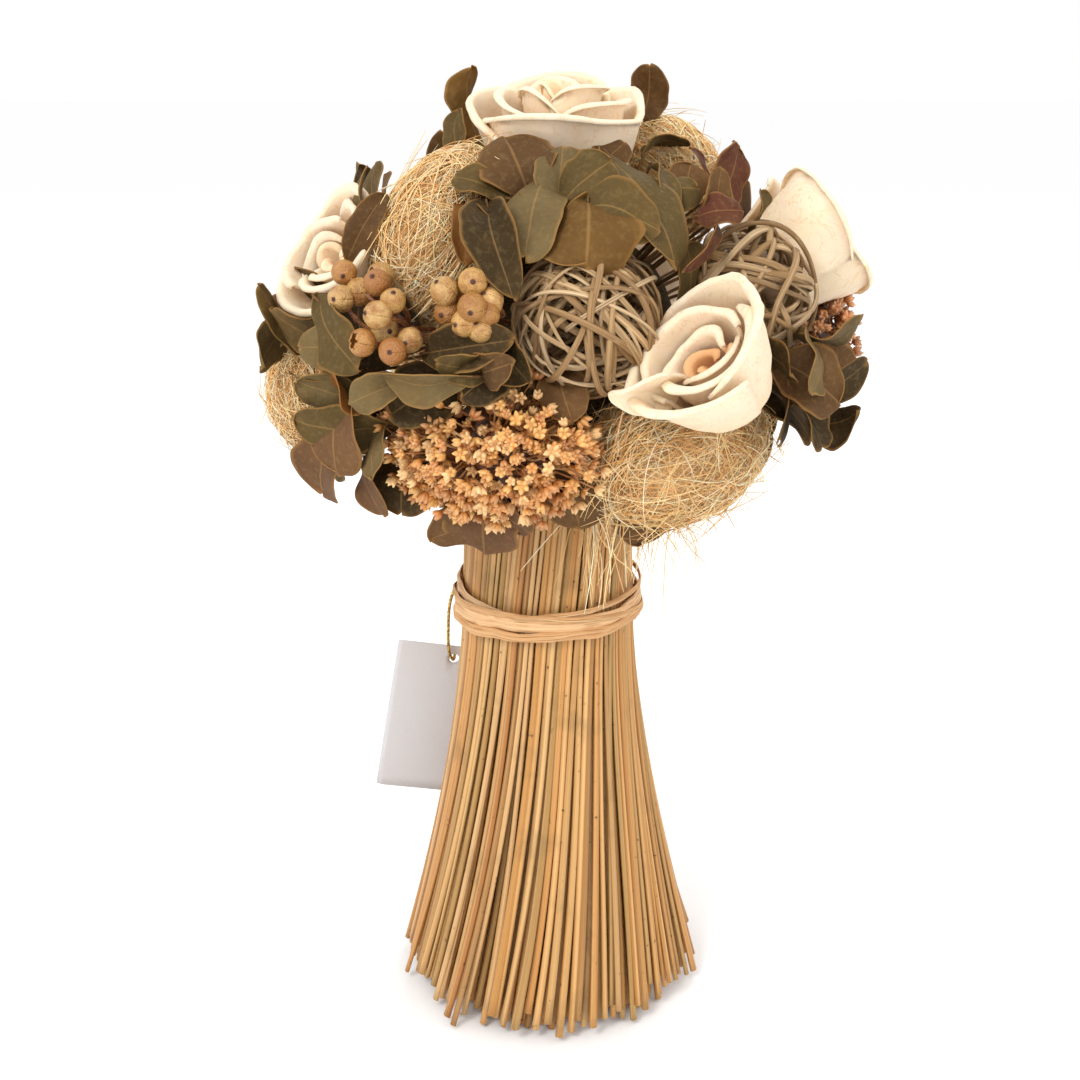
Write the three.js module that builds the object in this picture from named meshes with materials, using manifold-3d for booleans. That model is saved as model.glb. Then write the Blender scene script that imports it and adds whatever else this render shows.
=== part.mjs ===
// A standing sheaf of dried straw, tied with raffia and topped with a domed head of dried flowers.
// Units are millimetres, +Z is up, the front is -Y, and the origin is the middle of the foot it stands on.
// Pieces of the head are placed from the middle of the foam ball by [azimuth, elevation, reach]: azimuth 0
// is the front and 90 is +X, elevation is above the horizon, both in degrees, and reach is the distance.
import * as THREE from "three";
import { mergeVertices } from "three/addons/utils/BufferGeometryUtils.js";
import Module from "manifold-3d";

const wasm = await Module();
wasm.setup();

// ---------------------------------------------------------------- driving dimensions

const GAP = 0.35; // left between pieces that touch
const SEAM = 0.8; // left between the bundles of straw, whose sides are twisted
const GAUGE = { leaf: 0.8, petal: 1.2, raffia: 0.8, tag: 0.7 };

const SHEAF = {
  height: 204,
  footRadius: 55,
  waistRadius: 30.8,
  waistHeight: 146,
  neckRadius: 29,
  flareSharpness: 1.5,
  twistPerMm: 0.13, // degrees that the straws turn round the axis for each millimetre of height
  bundles: 8,
  strawsPerBundle: 6,
  bundleDepth: 8,
  fluteDepth: 1,
};

// The foam ball's middle stands a little to the right of the sheaf's axis, and rise above the straws' top.
const FOAM = { offset: 4, rise: 34, radius: 40 };
const PICK = { radius: 1.2, depth: 13 }; // the stick that holds each piece of the head in the foam

// The upper wrap is highest at the back and the lower one at the front, so they cross at the sides.
const WRAP = { width: 8, sway: 2, upper: 4.5, lower: -0.5 };
const KNOT = { azimuth: 175, width: 13, height: 10, depth: 7, tail: 24, tailWidth: 5 };

const TAG = { width: 30, height: 56, holeRadius: 1.8, holeInset: 8, holeDrop: 5, lean: 10, yaw: 8 };
const TAG_HOLE = { x: -35.5, y: 27, z: 112 };
const THREAD = { diameter: 1.3, sides: 8, steps: 14 };

const SISAL = [
  { name: "sisal_ball_front", at: [43, -27, 63], across: 31, tall: 23, deep: 21 },
  { name: "sisal_ball_upper_left", at: [-50, 37, 64], across: 18, tall: 28, deep: 19 },
  { name: "sisal_ball_left", at: [-79, -11, 83], across: 18, tall: 20, deep: 17 },
  { name: "sisal_ball_top_right", at: [118, 53, 66], across: 20, tall: 22, deep: 18 },
  { name: "sisal_ball_back_left", at: [-142, -8, 66], across: 25, tall: 21, deep: 21 },
  { name: "sisal_ball_back_right", at: [133, -20, 68], across: 26, tall: 21, deep: 21 },
];

const RATTAN = [
  { name: "rattan_ball_front", at: [10, 16, 62], radius: 22.5 },
  { name: "rattan_ball_right", at: [62, 18, 71], radius: 21.5 },
  { name: "rattan_ball_back", at: [-168, 30, 66], radius: 22 },
];

// face is the way that the flower looks, as [azimuth, elevation].
const ROSES = [
  { name: "rose_top", at: [0, 84, 64], face: [0, 74], across: 55, tall: 36 },
  { name: "rose_front", at: [29, 6, 84], face: [2, 26], across: 47, tall: 34 },
  { name: "rose_right", at: [87, 27, 83], face: [82, 34], across: 46, tall: 32 },
  { name: "rose_left", at: [-76, 23, 78], face: [-70, 24], across: 43, tall: 32 },
  { name: "rose_back", at: [158, 12, 72], face: [158, 14], across: 50, tall: 34 },
];

// belly is how far a petal bulges, as a share of its rim's radius, at bellyHeight of its height, and lobe
// is how far its rim waves, as a share of its size.
const PETAL = { belly: 0.16, bellyHeight: 0.45, lobe: 0.14 };

const BERRY_RADIUS = 4;
const STALK_RADIUS = 0.8;
const BERRIES = [
  { name: "berry_cluster_left", at: [-38, 12, 86], across: 10, tall: 15, deep: 9, count: 9 },
  { name: "berry_cluster_middle", at: [-21, 17, 77], across: 7, tall: 11, deep: 7, count: 6 },
  { name: "berry_cluster_back", at: [-118, 14, 82], across: 10, tall: 12, deep: 8, count: 8 },
];

const SEED_KNOBS = 0.06; // how far the capsules stand out, as a share of the seed head's size
const SEEDS = [
  { name: "seed_head_front", at: [-20, -20, 67], across: 35, tall: 23, deep: 18 },
  { name: "seed_head_right", at: [90, 3, 84], across: 12, tall: 21, deep: 14 },
  { name: "seed_head_back", at: [-178, -22, 66], across: 30, tall: 21, deep: 17 },
];

// A leaf's stalk as a share of its length, the widths of its stalk and tip as shares of the blade's width,
// and how far it bows as a share of its length.
const LEAF = { stalk: 0.15, stalkWidth: 0.1, tipWidth: 0.16, bow: 0.12 };

// A spray's leaves all grow from its base. Each leaf is [azimuth, elevation, reach of its tip, width,
// roll], and with a roll of 0 its face looks outwards.
const SPRAYS = [
  {
    name: "leaves_crown_front",
    base: [4, 46, 46],
    leaves: [
      [-32, 57, 76, 22, 0],
      [-12, 27, 77, 21, 0],
      [-9, 54, 75, 16, 0],
      [16, 44, 79, 20, 20],
      [6, 34, 84, 22, 0],
      [31, 28, 76, 20, 10],
    ],
  },
  {
    name: "leaves_crown_right",
    base: [54, 48, 47],
    leaves: [
      [50, 60, 74, 14, 0],
      [70, 47, 84, 18, 0],
      [76, 41, 84, 12, -40],
      [58, 33, 77, 15, 0],
      [44, 33, 70, 14, 0],
    ],
  },
  {
    name: "leaves_top_back",
    base: [178, 62, 47],
    leaves: [
      [-118, 68, 90, 16, 0],
      [118, 69, 91, 14, 0],
      [178, 71, 87, 20, 0],
      [150, 50, 82, 18, 0],
    ],
  },
  {
    name: "leaves_upper_left",
    base: [-24, 33, 50],
    leaves: [
      [-30, 43, 84, 13, 30],
      [-11, 18, 80, 18, 0],
      [-24, 26, 82, 14, -40],
    ],
  },
  {
    name: "leaves_beside_left_rose",
    base: [-64, 33, 50],
    leaves: [
      [-57, 38, 90, 16, 60],
      [-57, 23, 86, 14, 40],
      [-82, 42, 84, 16, 0],
    ],
  },
  {
    name: "leaves_left",
    base: [-58, 2, 54],
    leaves: [
      [-78, 11, 99, 22, 20],
      [-71, 1, 100, 20, 0],
      [-60, 13, 90, 20, 0],
      [-86, 8, 97, 18, 0],
    ],
  },
  {
    name: "leaves_low_left",
    base: [-56, -18, 52],
    leaves: [
      [-66, -27, 96, 22, 0],
      [-56, -33, 90, 18, 0],
      [-60, -8, 94, 20, 0],
      [-45, -13, 84, 18, 0],
    ],
  },
  {
    name: "leaves_middle",
    base: [-22, 2, 56],
    leaves: [
      [-33, 0, 98, 16, 0],
      [-17, 4, 88, 16, 20],
      [-6, 0, 84, 18, 0],
      [-12, 7, 86, 14, 0],
    ],
  },
  {
    name: "leaves_right",
    base: [70, -6, 54],
    leaves: [
      [82, 6, 97, 20, 0],
      [76, -11, 101, 20, 0],
      [77, -20, 94, 18, 0],
      [60, -7, 86, 18, 0],
    ],
  },
  {
    name: "leaves_under",
    base: [-30, -46, 50],
    leaves: [
      [-52, -46, 83, 22, 0],
      [-30, -50, 82, 26, 0],
      [4, -46, 76, 20, 0],
      [40, -56, 76, 20, 0],
    ],
  },
  {
    name: "leaves_back_left",
    base: [-112, 22, 50],
    leaves: [
      [-104, 40, 88, 20, 0],
      [-126, 34, 90, 20, 0],
      [-102, 4, 97, 20, 0],
      [-124, 2, 94, 20, 0],
    ],
  },
  {
    name: "leaves_back_right",
    base: [116, 14, 50],
    leaves: [
      [104, 26, 94, 20, 0],
      [122, 32, 90, 20, 0],
      [106, 2, 99, 20, 0],
      [134, 8, 96, 20, 0],
    ],
  },
  {
    name: "leaves_back_low",
    base: [170, -6, 52],
    leaves: [
      [-164, -2, 94, 20, 0],
      [176, -4, 92, 20, 0],
      [-150, -36, 86, 20, 0],
      [-108, -34, 88, 20, 0],
      [104, -36, 88, 20, 0],
    ],
  },
];

const COLOURS = {
  foam: "#5d6b4a",
  straw: "#c9a05c",
  raffia: "#cda673",
  tag: "#dedad6",
  thread: "#b38a3c",
  rose: "#efe3c8",
  sisal: "#dcb27a",
  rattan: "#a8906c",
  berry: "#bb8d4e",
  seed: "#c98a4b",
  leaf: "#6f6a4c",
};

// ---------------------------------------------------------------- helpers

const radians = THREE.MathUtils.degToRad;
const UP = new THREE.Vector3(0, 0, 1);
const HEAD_MIDDLE = new THREE.Vector3(FOAM.offset, 0, SHEAF.height + FOAM.rise);
const root = new THREE.Group();

function material(name, roughness = 0.85, metalness = 0) {
  return new THREE.MeshStandardMaterial({ color: COLOURS[name], roughness, metalness });
}

// The unit vector at an azimuth and an elevation.
function direction(azimuth, elevation) {
  const a = radians(azimuth);
  const e = radians(elevation);
  return new THREE.Vector3(Math.sin(a) * Math.cos(e), -Math.cos(a) * Math.cos(e), Math.sin(e));
}

// A point of the head.
function headPoint([azimuth, elevation, reach]) {
  return direction(azimuth, elevation).multiplyScalar(reach).add(HEAD_MIDDLE);
}

// A frame at a point whose Z looks along outward, with its X level.
function facing(point, outward) {
  const z = outward.clone().normalize();
  const x = new THREE.Vector3().crossVectors(UP, z).normalize();
  const y = new THREE.Vector3().crossVectors(z, x);
  return new THREE.Matrix4().makeBasis(x, y, z).setPosition(point);
}

// A closed geometry as a solid, with shared vertices merged and collapsed faces left out.
function solidOf(geometry) {
  const bare = new THREE.BufferGeometry();
  bare.setAttribute("position", geometry.getAttribute("position").clone());
  if (geometry.index) bare.setIndex(geometry.index.clone());
  const merged = mergeVertices(bare, 1e-4);
  const kept = [];
  const index = merged.index.array;
  for (let i = 0; i < index.length; i += 3) {
    const [a, b, c] = [index[i], index[i + 1], index[i + 2]];
    if (a !== b && b !== c && c !== a) kept.push(a, b, c);
  }
  return new wasm.Manifold(
    new wasm.Mesh({
      numProp: 3,
      vertProperties: merged.attributes.position.array,
      triVerts: new Uint32Array(kept),
    }),
  );
}

// A geometry with every vertex moved by place(vertex).
function shaped(geometry, place) {
  const position = geometry.getAttribute("position");
  const vertex = new THREE.Vector3();
  for (let i = 0; i < position.count; i++) {
    vertex.fromBufferAttribute(position, i);
    place(vertex);
    position.setXYZ(i, vertex.x, vertex.y, vertex.z);
  }
  return geometry;
}

// The biggest body of a solid that cutting may have parted.
function biggest(solid) {
  return solid.decompose().sort((a, b) => b.volume() - a.volume())[0];
}

function boxesMeet(a, b) {
  const p = a.boundingBox();
  const q = b.boundingBox();
  return [0, 1, 2].every((i) => p.min[i] < q.max[i] && q.min[i] < p.max[i]);
}

function addMesh(name, solid, surface) {
  const made = solid.getMesh();
  const geometry = new THREE.BufferGeometry();
  geometry.setAttribute("position", new THREE.BufferAttribute(new Float32Array(made.vertProperties), 3));
  geometry.setIndex(new THREE.BufferAttribute(new Uint32Array(made.triVerts), 1));
  geometry.computeVertexNormals();
  const mesh = new THREE.Mesh(geometry, surface);
  mesh.name = name;
  root.add(mesh);
}

// Each piece is cut back from the room of those fitted before it, and then keeps its own room clear.
const taken = [];
function fit(name, body, room, surface) {
  let solid = body;
  for (const other of taken) if (boxesMeet(solid, other)) solid = solid.subtract(other);
  addMesh(name, biggest(solid), surface);
  taken.push(room);
}

// A stick from the middle of a piece of the head into the foam, thicker by grow.
function pick([azimuth, elevation, reach], grow = 0) {
  const radius = PICK.radius + grow;
  const end = FOAM.radius - PICK.depth - grow;
  const stick = new THREE.CylinderGeometry(radius, radius, reach - end, 5).rotateX(Math.PI / 2);
  const middle = headPoint([azimuth, elevation, (reach + end) / 2]);
  return solidOf(stick.applyMatrix4(facing(middle, direction(azimuth, elevation))));
}

function ellipsoid({ at, across, tall, deep }, grow = 0) {
  const ball = new THREE.SphereGeometry(1, 12, 7);
  ball.scale(across + grow, tall + grow, deep + grow);
  ball.applyMatrix4(facing(headPoint(at), direction(at[0], at[1])));
  return solidOf(ball);
}

// ---------------------------------------------------------------- the sheaf

// The outside radius of the sheaf at a height.
function sheafRadius(z) {
  if (z >= SHEAF.waistHeight) {
    const share = (z - SHEAF.waistHeight) / (SHEAF.height - SHEAF.waistHeight);
    return THREE.MathUtils.lerp(SHEAF.waistRadius, SHEAF.neckRadius, share);
  }
  const share = 1 - z / SHEAF.waistHeight;
  return SHEAF.waistRadius + (SHEAF.footRadius - SHEAF.waistRadius) * share ** SHEAF.flareSharpness;
}

const SHEAF_LEVELS = [0, 0.3, 0.65, 1].map((share) => share * SHEAF.waistHeight);
SHEAF_LEVELS.push(SHEAF.height);

function addStrawCore() {
  const outline = SHEAF_LEVELS.map((z) => new THREE.Vector2(sheafRadius(z) - SHEAF.bundleDepth, z));
  outline.unshift(new THREE.Vector2(0, 0));
  outline.push(new THREE.Vector2(0, SHEAF.height));
  const core = new THREE.LatheGeometry(outline, 24);
  core.rotateX(Math.PI / 2);
  addMesh("straw_core", solidOf(core), material("straw"));
}

// The room of the straws' top, which the head keeps clear of.
function sheafRoom() {
  const radius = Math.max(SHEAF.waistRadius, SHEAF.neckRadius) + GAP;
  const column = new THREE.CylinderGeometry(radius, radius, SHEAF.height + GAP, 24).rotateX(Math.PI / 2);
  return solidOf(column.translate(0, 0, (SHEAF.height + GAP) / 2));
}

// One sector of the outer straws. Its outside is fluted, one flute to a straw.
function addStrawBundle(number) {
  const sector = (2 * Math.PI) / SHEAF.bundles;
  const columns = SHEAF.strawsPerBundle * 2;
  const block = new THREE.BoxGeometry(1, 1, 1, columns, 1, SHEAF_LEVELS.length - 1);
  shaped(block, (v) => {
    const column = Math.round((v.x + 0.5) * columns);
    const z = SHEAF_LEVELS[Math.round((v.z + 0.5) * (SHEAF_LEVELS.length - 1))];
    const outer = sheafRadius(z) - (column % 2 ? 0 : SHEAF.fluteDepth);
    const radius = v.y < 0 ? outer : sheafRadius(z) - SHEAF.bundleDepth + GAP;
    const edge = SEAM / radius;
    const twist = radians(SHEAF.twistPerMm * (z - SHEAF.waistHeight));
    const angle = number * sector + v.x * (sector - edge) + twist;
    v.set(Math.sin(angle) * radius, -Math.cos(angle) * radius, z);
  });
  addMesh(`straw_bundle_${number + 1}`, solidOf(block), material("straw"));
}

// ---------------------------------------------------------------- the raffia tie

// A band round the waist whose height sways once as it goes round, highest at the azimuth given. It gives
// back its outside radius.
function addWrap(name, inset, middle, highest) {
  const inner = sheafRadius(middle - WRAP.width / 2 - WRAP.sway) + GAP + inset;
  const outline = [
    [inner, -WRAP.width / 2],
    [inner + GAUGE.raffia, -WRAP.width / 2],
    [inner + GAUGE.raffia, WRAP.width / 2],
    [inner, WRAP.width / 2],
    [inner, -WRAP.width / 2],
  ].map(([radius, z]) => new THREE.Vector2(radius, z));
  const band = new THREE.LatheGeometry(outline, 32);
  band.rotateX(Math.PI / 2);
  shaped(band, (v) => {
    const azimuth = Math.atan2(v.x, -v.y);
    v.z += middle + WRAP.sway * Math.cos(azimuth - radians(highest));
  });
  addMesh(name, solidOf(band), material("raffia"));
  return inner + GAUGE.raffia;
}

// The knot at the back with its two tails, lying outside both wraps.
function addKnot(wrapRadius) {
  const out = direction(KNOT.azimuth, 0);
  const middle = out.clone().multiplyScalar(wrapRadius + GAP + KNOT.depth / 2 + GAUGE.raffia / 2);
  middle.z = SHEAF.waistHeight + (WRAP.upper + WRAP.lower) / 2;
  const frame = facing(middle, out);
  const ball = new THREE.SphereGeometry(0.5, 10, 6).scale(KNOT.width, KNOT.height, KNOT.depth);
  let knot = solidOf(ball.applyMatrix4(frame));
  for (const side of [-1, 1]) {
    const tail = new THREE.BoxGeometry(KNOT.tailWidth, KNOT.tail, GAUGE.raffia, 1, 4, 1);
    shaped(tail, (v) => {
      const share = 0.5 - v.y / KNOT.tail;
      v.x = v.x * (1 - 0.5 * share) + side * (1.5 + 9 * share);
      v.y = -share * KNOT.tail;
      v.z += 3.5 * share * share;
    });
    knot = knot.add(solidOf(tail.applyMatrix4(frame)));
  }
  addMesh("raffia_knot", knot, material("raffia"));
}

// ---------------------------------------------------------------- the tag on its thread

function tagFrame() {
  const hang = new THREE.Matrix4().makeRotationZ(radians(TAG.yaw));
  const lean = new THREE.Matrix4().makeRotationY(radians(TAG.lean));
  return hang.multiply(lean).setPosition(TAG_HOLE.x, TAG_HOLE.y, TAG_HOLE.z);
}

// The card stands in X and Z round its hole, with the hole near its upper right corner.
function addTag() {
  const left = -(TAG.width - TAG.holeInset);
  const card = new THREE.Shape();
  card.moveTo(left, TAG.holeDrop);
  card.lineTo(left, TAG.holeDrop - TAG.height);
  card.lineTo(TAG.holeInset, TAG.holeDrop - TAG.height);
  card.lineTo(TAG.holeInset, TAG.holeDrop);
  card.closePath();
  card.holes.push(new THREE.Path().absarc(0, 0, TAG.holeRadius, 0, 2 * Math.PI, true));
  const slab = new THREE.ExtrudeGeometry(card, { depth: GAUGE.tag, bevelEnabled: false, curveSegments: 8 });
  slab.translate(0, 0, -GAUGE.tag / 2);
  slab.rotateX(Math.PI / 2);
  addMesh("paper_tag", solidOf(slab.applyMatrix4(tagFrame())), material("tag"));
}

// The thread's points: out from under the tie at the back left, down, and forward through the tag's hole.
const THREAD_ROUTE = [
  [-33.2, 13.6, 146],
  [-34.6, 15.0, 143],
  [-36.0, 17.5, 138],
  [-36.8, 20.0, 132],
  [-37.2, 22.4, 126],
  [-37.4, 23.6, 120],
  [-37.0, 24.0, 115],
  [-36.0, 25.2, 112.3],
  [-35.5, 27.2, 112],
  [-35.3, 29.4, 112.6],
];

function addThread() {
  const route = new THREE.CatmullRomCurve3(THREAD_ROUTE.map((p) => new THREE.Vector3(...p)));
  const section = new THREE.Shape();
  for (let i = 0; i < THREAD.sides; i++) {
    const angle = (2 * Math.PI * i) / THREAD.sides;
    const [x, y] = [(Math.cos(angle) * THREAD.diameter) / 2, (Math.sin(angle) * THREAD.diameter) / 2];
    if (i) section.lineTo(x, y);
    else section.moveTo(x, y);
  }
  section.closePath();
  const tube = new THREE.ExtrudeGeometry(section, { steps: THREAD.steps, extrudePath: route });
  addMesh("tag_thread", solidOf(tube), material("thread", 0.4, 0.6));
}

// ---------------------------------------------------------------- the head

function addBall(item, kind) {
  const sizes = item.radius ? { ...item, across: item.radius, tall: item.radius, deep: item.radius } : item;
  const body = ellipsoid(sizes).add(pick(item.at));
  fit(item.name, body, ellipsoid(sizes, GAP).add(pick(item.at, GAP)), material(kind));
}

// A shell of petals round the heart of a rose, with one lobe of its rim to a petal.
function petalRing({ foot, rim, low, high, petals, turn }, grow = 0) {
  const wall = GAUGE.petal + grow;
  const middle = (foot + rim) / 2 + PETAL.belly * rim;
  const height = (share) => low - grow + (high - low + 2 * grow) * share;
  const outline = [
    [foot - grow, 0],
    [foot + wall, 0],
    [middle + wall, PETAL.bellyHeight],
    [rim + wall, 1],
    [rim - grow, 1],
    [middle - grow, PETAL.bellyHeight],
    [foot - grow, 0],
  ].map(([radius, share]) => new THREE.Vector2(radius, height(share)));
  const ring = new THREE.LatheGeometry(outline, petals * 4).rotateX(Math.PI / 2);
  return shaped(ring, (v) => {
    const share = (v.z - low) / (high - low);
    const lobe = Math.abs(Math.sin((petals / 2) * Math.atan2(v.y, v.x) + turn)) - 0.5;
    const spread = 1 + PETAL.lobe * share * lobe;
    v.set(v.x * spread, v.y * spread, v.z + PETAL.lobe * share * lobe * (high - low));
  });
}

// The bud in the middle of a rose.
function roseHeart(across, tall, grow = 0) {
  const radius = across * 0.15 + grow;
  const outline = [
    [0, -tall / 2],
    [radius * 0.6, -tall / 2],
    [radius, 0],
    [radius * 0.8, tall * 0.36 + grow],
    [0, tall * 0.3 + grow],
  ].map(([r, z]) => new THREE.Vector2(r, z));
  return new THREE.LatheGeometry(outline, 10).rotateX(Math.PI / 2);
}

// The room of a whole rose, a filled cup.
function roseRoom(across, tall) {
  const wall = GAUGE.petal + 2 * GAP;
  const outline = [
    [0, -tall / 2 - GAP],
    [across * 0.26 + wall, -tall / 2 - GAP],
    [across * 0.43 + wall, -tall * 0.05],
    [across * 0.49 + wall, tall * 0.48],
    [0, tall * 0.48],
  ].map(([r, z]) => new THREE.Vector2(r, z));
  return new THREE.LatheGeometry(outline, 20).rotateX(Math.PI / 2);
}

function addRose({ name, at, face, across, tall }) {
  const frame = facing(headPoint(at), direction(...face));
  const put = (geometry) => solidOf(geometry.applyMatrix4(frame));
  const inner = {
    foot: across * 0.19,
    rim: across * 0.3,
    low: -tall * 0.42,
    high: tall * 0.42,
    petals: 3,
    turn: 0,
  };
  const outer = {
    foot: across * 0.26,
    rim: across * 0.44,
    low: -tall * 0.5,
    high: tall * 0.4,
    petals: 5,
    turn: 0.6,
  };
  const surface = material("rose", 0.7);
  const heart = put(roseHeart(across, tall)).add(pick(at));
  fit(`${name}_heart`, heart, put(roseHeart(across, tall, GAP)).add(pick(at, GAP)), surface);
  fit(`${name}_inner_petals`, put(petalRing(inner)), put(petalRing(inner, GAP)), surface);
  fit(`${name}_outer_petals`, put(petalRing(outer)), put(roseRoom(across, tall)), surface);
}

// Berries spread evenly over an oval, each on its own stalk from the middle.
function addBerries(item) {
  const middle = headPoint(item.at);
  const frame = facing(middle, direction(item.at[0], item.at[1]));
  let body = pick(item.at);
  let room = pick(item.at, GAP);
  for (let i = 0; i < item.count; i++) {
    const height = 1 - (2 * (i + 0.5)) / item.count;
    const turn = i * radians(137.5);
    const level = Math.sqrt(1 - height * height);
    const place = new THREE.Vector3(
      item.across * level * Math.cos(turn),
      item.tall * height,
      item.deep * level * Math.sin(turn),
    ).applyMatrix4(frame);
    const along = place.clone().sub(middle);
    const onStalk = facing(place.clone().lerp(middle, 0.5), along);
    const berry = (grow) => {
      const radius = STALK_RADIUS + grow;
      const stalk = new THREE.CylinderGeometry(radius, radius, along.length(), 3).rotateX(Math.PI / 2);
      const fruit = new THREE.SphereGeometry(BERRY_RADIUS + grow, 6, 4);
      fruit.translate(place.x, place.y, place.z);
      return solidOf(fruit).add(solidOf(stalk.applyMatrix4(onStalk)));
    };
    body = body.add(berry(0));
    room = room.add(berry(GAP));
  }
  fit(item.name, body, room, material("berry", 0.6));
}

// A rounded mass of small seed capsules, knobbly all over.
function addSeeds(item) {
  const mass = (grow) => {
    const ball = shaped(new THREE.SphereGeometry(1, 12, 7), (v) => {
      v.multiplyScalar(1 + SEED_KNOBS * Math.sin(9 * v.x + 2) * Math.cos(8 * v.y + 5 * v.z));
    });
    ball.scale(item.across + grow, item.tall + grow, item.deep + grow);
    return solidOf(ball.applyMatrix4(facing(headPoint(item.at), direction(item.at[0], item.at[1]))));
  };
  fit(item.name, mass(0).add(pick(item.at)), mass(GAP).add(pick(item.at, GAP)), material("seed"));
}

// One leaf from its base to its tip: a narrow stalk that widens into an oval blade, bowed along its length.
function leafSolid(base, outward, tip, width, roll, grow) {
  const length = base.distanceTo(tip);
  const along = tip.clone().sub(base).normalize();
  const across = new THREE.Vector3().crossVectors(along, outward).normalize();
  across.applyAxisAngle(along, radians(roll));
  const face = new THREE.Vector3().crossVectors(across, along);
  const frame = new THREE.Matrix4().makeBasis(across, along, face).setPosition(base);
  const blade = new THREE.BoxGeometry(1, 1, GAUGE.leaf + 2 * grow, 1, 4, 1);
  shaped(blade, (v) => {
    const share = v.y + 0.5;
    const onBlade = Math.max(0, share - LEAF.stalk) / (1 - LEAF.stalk);
    const oval = Math.sqrt(Math.max(0, Math.sin(Math.PI * onBlade)));
    const wide = width * Math.max(onBlade ? LEAF.tipWidth : LEAF.stalkWidth, oval) + 2 * grow;
    v.set(v.x * wide, share * length, v.z + LEAF.bow * length * Math.sin(Math.PI * share));
  });
  return solidOf(blade.applyMatrix4(frame));
}

function addSpray({ name, base, leaves }) {
  const foot = headPoint(base);
  const outward = direction(base[0], base[1]);
  let body = pick(base);
  let room = pick(base, GAP);
  for (const [azimuth, elevation, reach, width, roll] of leaves) {
    const tip = headPoint([azimuth, elevation, reach]);
    body = body.add(leafSolid(foot, outward, tip, width, roll, 0));
    room = room.add(leafSolid(foot, outward, tip, width, roll, GAP));
  }
  fit(name, body, room, material("leaf"));
}

// The foam ball last: it has a hole for every pick, because all of them have taken their room by then.
function addFoam() {
  const ball = new THREE.SphereGeometry(FOAM.radius, 14, 9).rotateX(Math.PI / 2);
  ball.translate(HEAD_MIDDLE.x, HEAD_MIDDLE.y, HEAD_MIDDLE.z);
  let foam = solidOf(ball);
  for (const other of taken) foam = foam.subtract(other);
  addMesh("foam_ball", biggest(foam), material("foam", 1));
}

// ---------------------------------------------------------------- the whole sheaf

addStrawCore();
for (let i = 0; i < SHEAF.bundles; i++) addStrawBundle(i);
addWrap("raffia_wrap_upper", 0, SHEAF.waistHeight + WRAP.upper, 180);
const wrapRadius = addWrap("raffia_wrap_lower", GAUGE.raffia + GAP, SHEAF.waistHeight + WRAP.lower, 0);
addKnot(wrapRadius);
addTag();
addThread();
taken.push(sheafRoom());
ROSES.forEach(addRose);
RATTAN.forEach((item) => addBall(item, "rattan"));
SISAL.forEach((item) => addBall(item, "sisal"));
BERRIES.forEach(addBerries);
SEEDS.forEach(addSeeds);
SPRAYS.forEach(addSpray);
addFoam();

export default root;
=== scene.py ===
"""A standing sheaf of dried straw with a domed flower head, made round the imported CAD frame.

Shapes are worked out in millimetres and become metres when a mesh is made. The front is -Y. A place in the
head is [azimuth, elevation, reach] from the middle of the foam ball, as in the CAD model: azimuth 0 is the
front and 90 is +X, elevation is above the horizon, and reach is the distance.
"""
import math

import bpy
import numpy as np
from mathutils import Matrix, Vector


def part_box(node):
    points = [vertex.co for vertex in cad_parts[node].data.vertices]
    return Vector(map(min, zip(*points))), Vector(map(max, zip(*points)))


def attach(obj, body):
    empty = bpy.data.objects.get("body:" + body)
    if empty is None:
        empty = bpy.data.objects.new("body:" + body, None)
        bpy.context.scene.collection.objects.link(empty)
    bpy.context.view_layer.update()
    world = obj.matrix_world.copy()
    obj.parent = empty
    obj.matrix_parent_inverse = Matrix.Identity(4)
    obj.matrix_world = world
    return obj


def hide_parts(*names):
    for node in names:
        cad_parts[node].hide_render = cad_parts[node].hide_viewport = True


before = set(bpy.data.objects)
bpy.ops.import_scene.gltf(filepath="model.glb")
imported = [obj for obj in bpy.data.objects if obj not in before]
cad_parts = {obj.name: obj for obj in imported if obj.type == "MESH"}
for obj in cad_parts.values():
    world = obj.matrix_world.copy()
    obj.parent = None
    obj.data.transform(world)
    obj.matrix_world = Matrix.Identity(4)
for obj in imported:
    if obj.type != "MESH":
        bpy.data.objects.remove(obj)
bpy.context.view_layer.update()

MM = 0.001
UP = np.array([0.0, 0.0, 1.0])


def millimetres(node):
    """The lowest and highest corners of a CAD node."""
    low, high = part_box(node)
    return np.array(low) / MM, np.array(high) / MM


def middle_of_head():
    """The foam ball is cut flat below, so its middle is found from its sides and its top."""
    low, high = millimetres("foam_ball")
    radius = (high[0] - low[0]) / 2
    return np.array([(low[0] + high[0]) / 2, 0.0, high[2] - radius]), radius


HEAD, FOAM_RADIUS = middle_of_head()
STRAW_TOP = millimetres("straw_core")[1][2]
FOOT_RADIUS = max(millimetres(f"straw_bundle_{i}")[1][0] for i in range(1, 9))
WRAP_STANDS_OUT = 1.2
WRAP_FOOT_TO_WAIST = 6
WAIST_RADIUS = millimetres("raffia_wrap_upper")[1][0] - WRAP_STANDS_OUT
WAIST_HEIGHT = millimetres("raffia_wrap_lower")[0][2] + WRAP_FOOT_TO_WAIST


# ---------------------------------------------------------------- camera, light and floor


def add_camera():
    camera = bpy.data.objects.new("camera", bpy.data.cameras.new("camera"))
    camera.data.lens = 47.8
    camera.data.sensor_width = 36
    camera.location = (-0.0028, -0.480, 0.320)
    camera.rotation_euler = (math.radians(90 - 17.6), 0, 0)
    bpy.context.collection.objects.link(camera)
    bpy.context.scene.camera = camera


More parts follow.
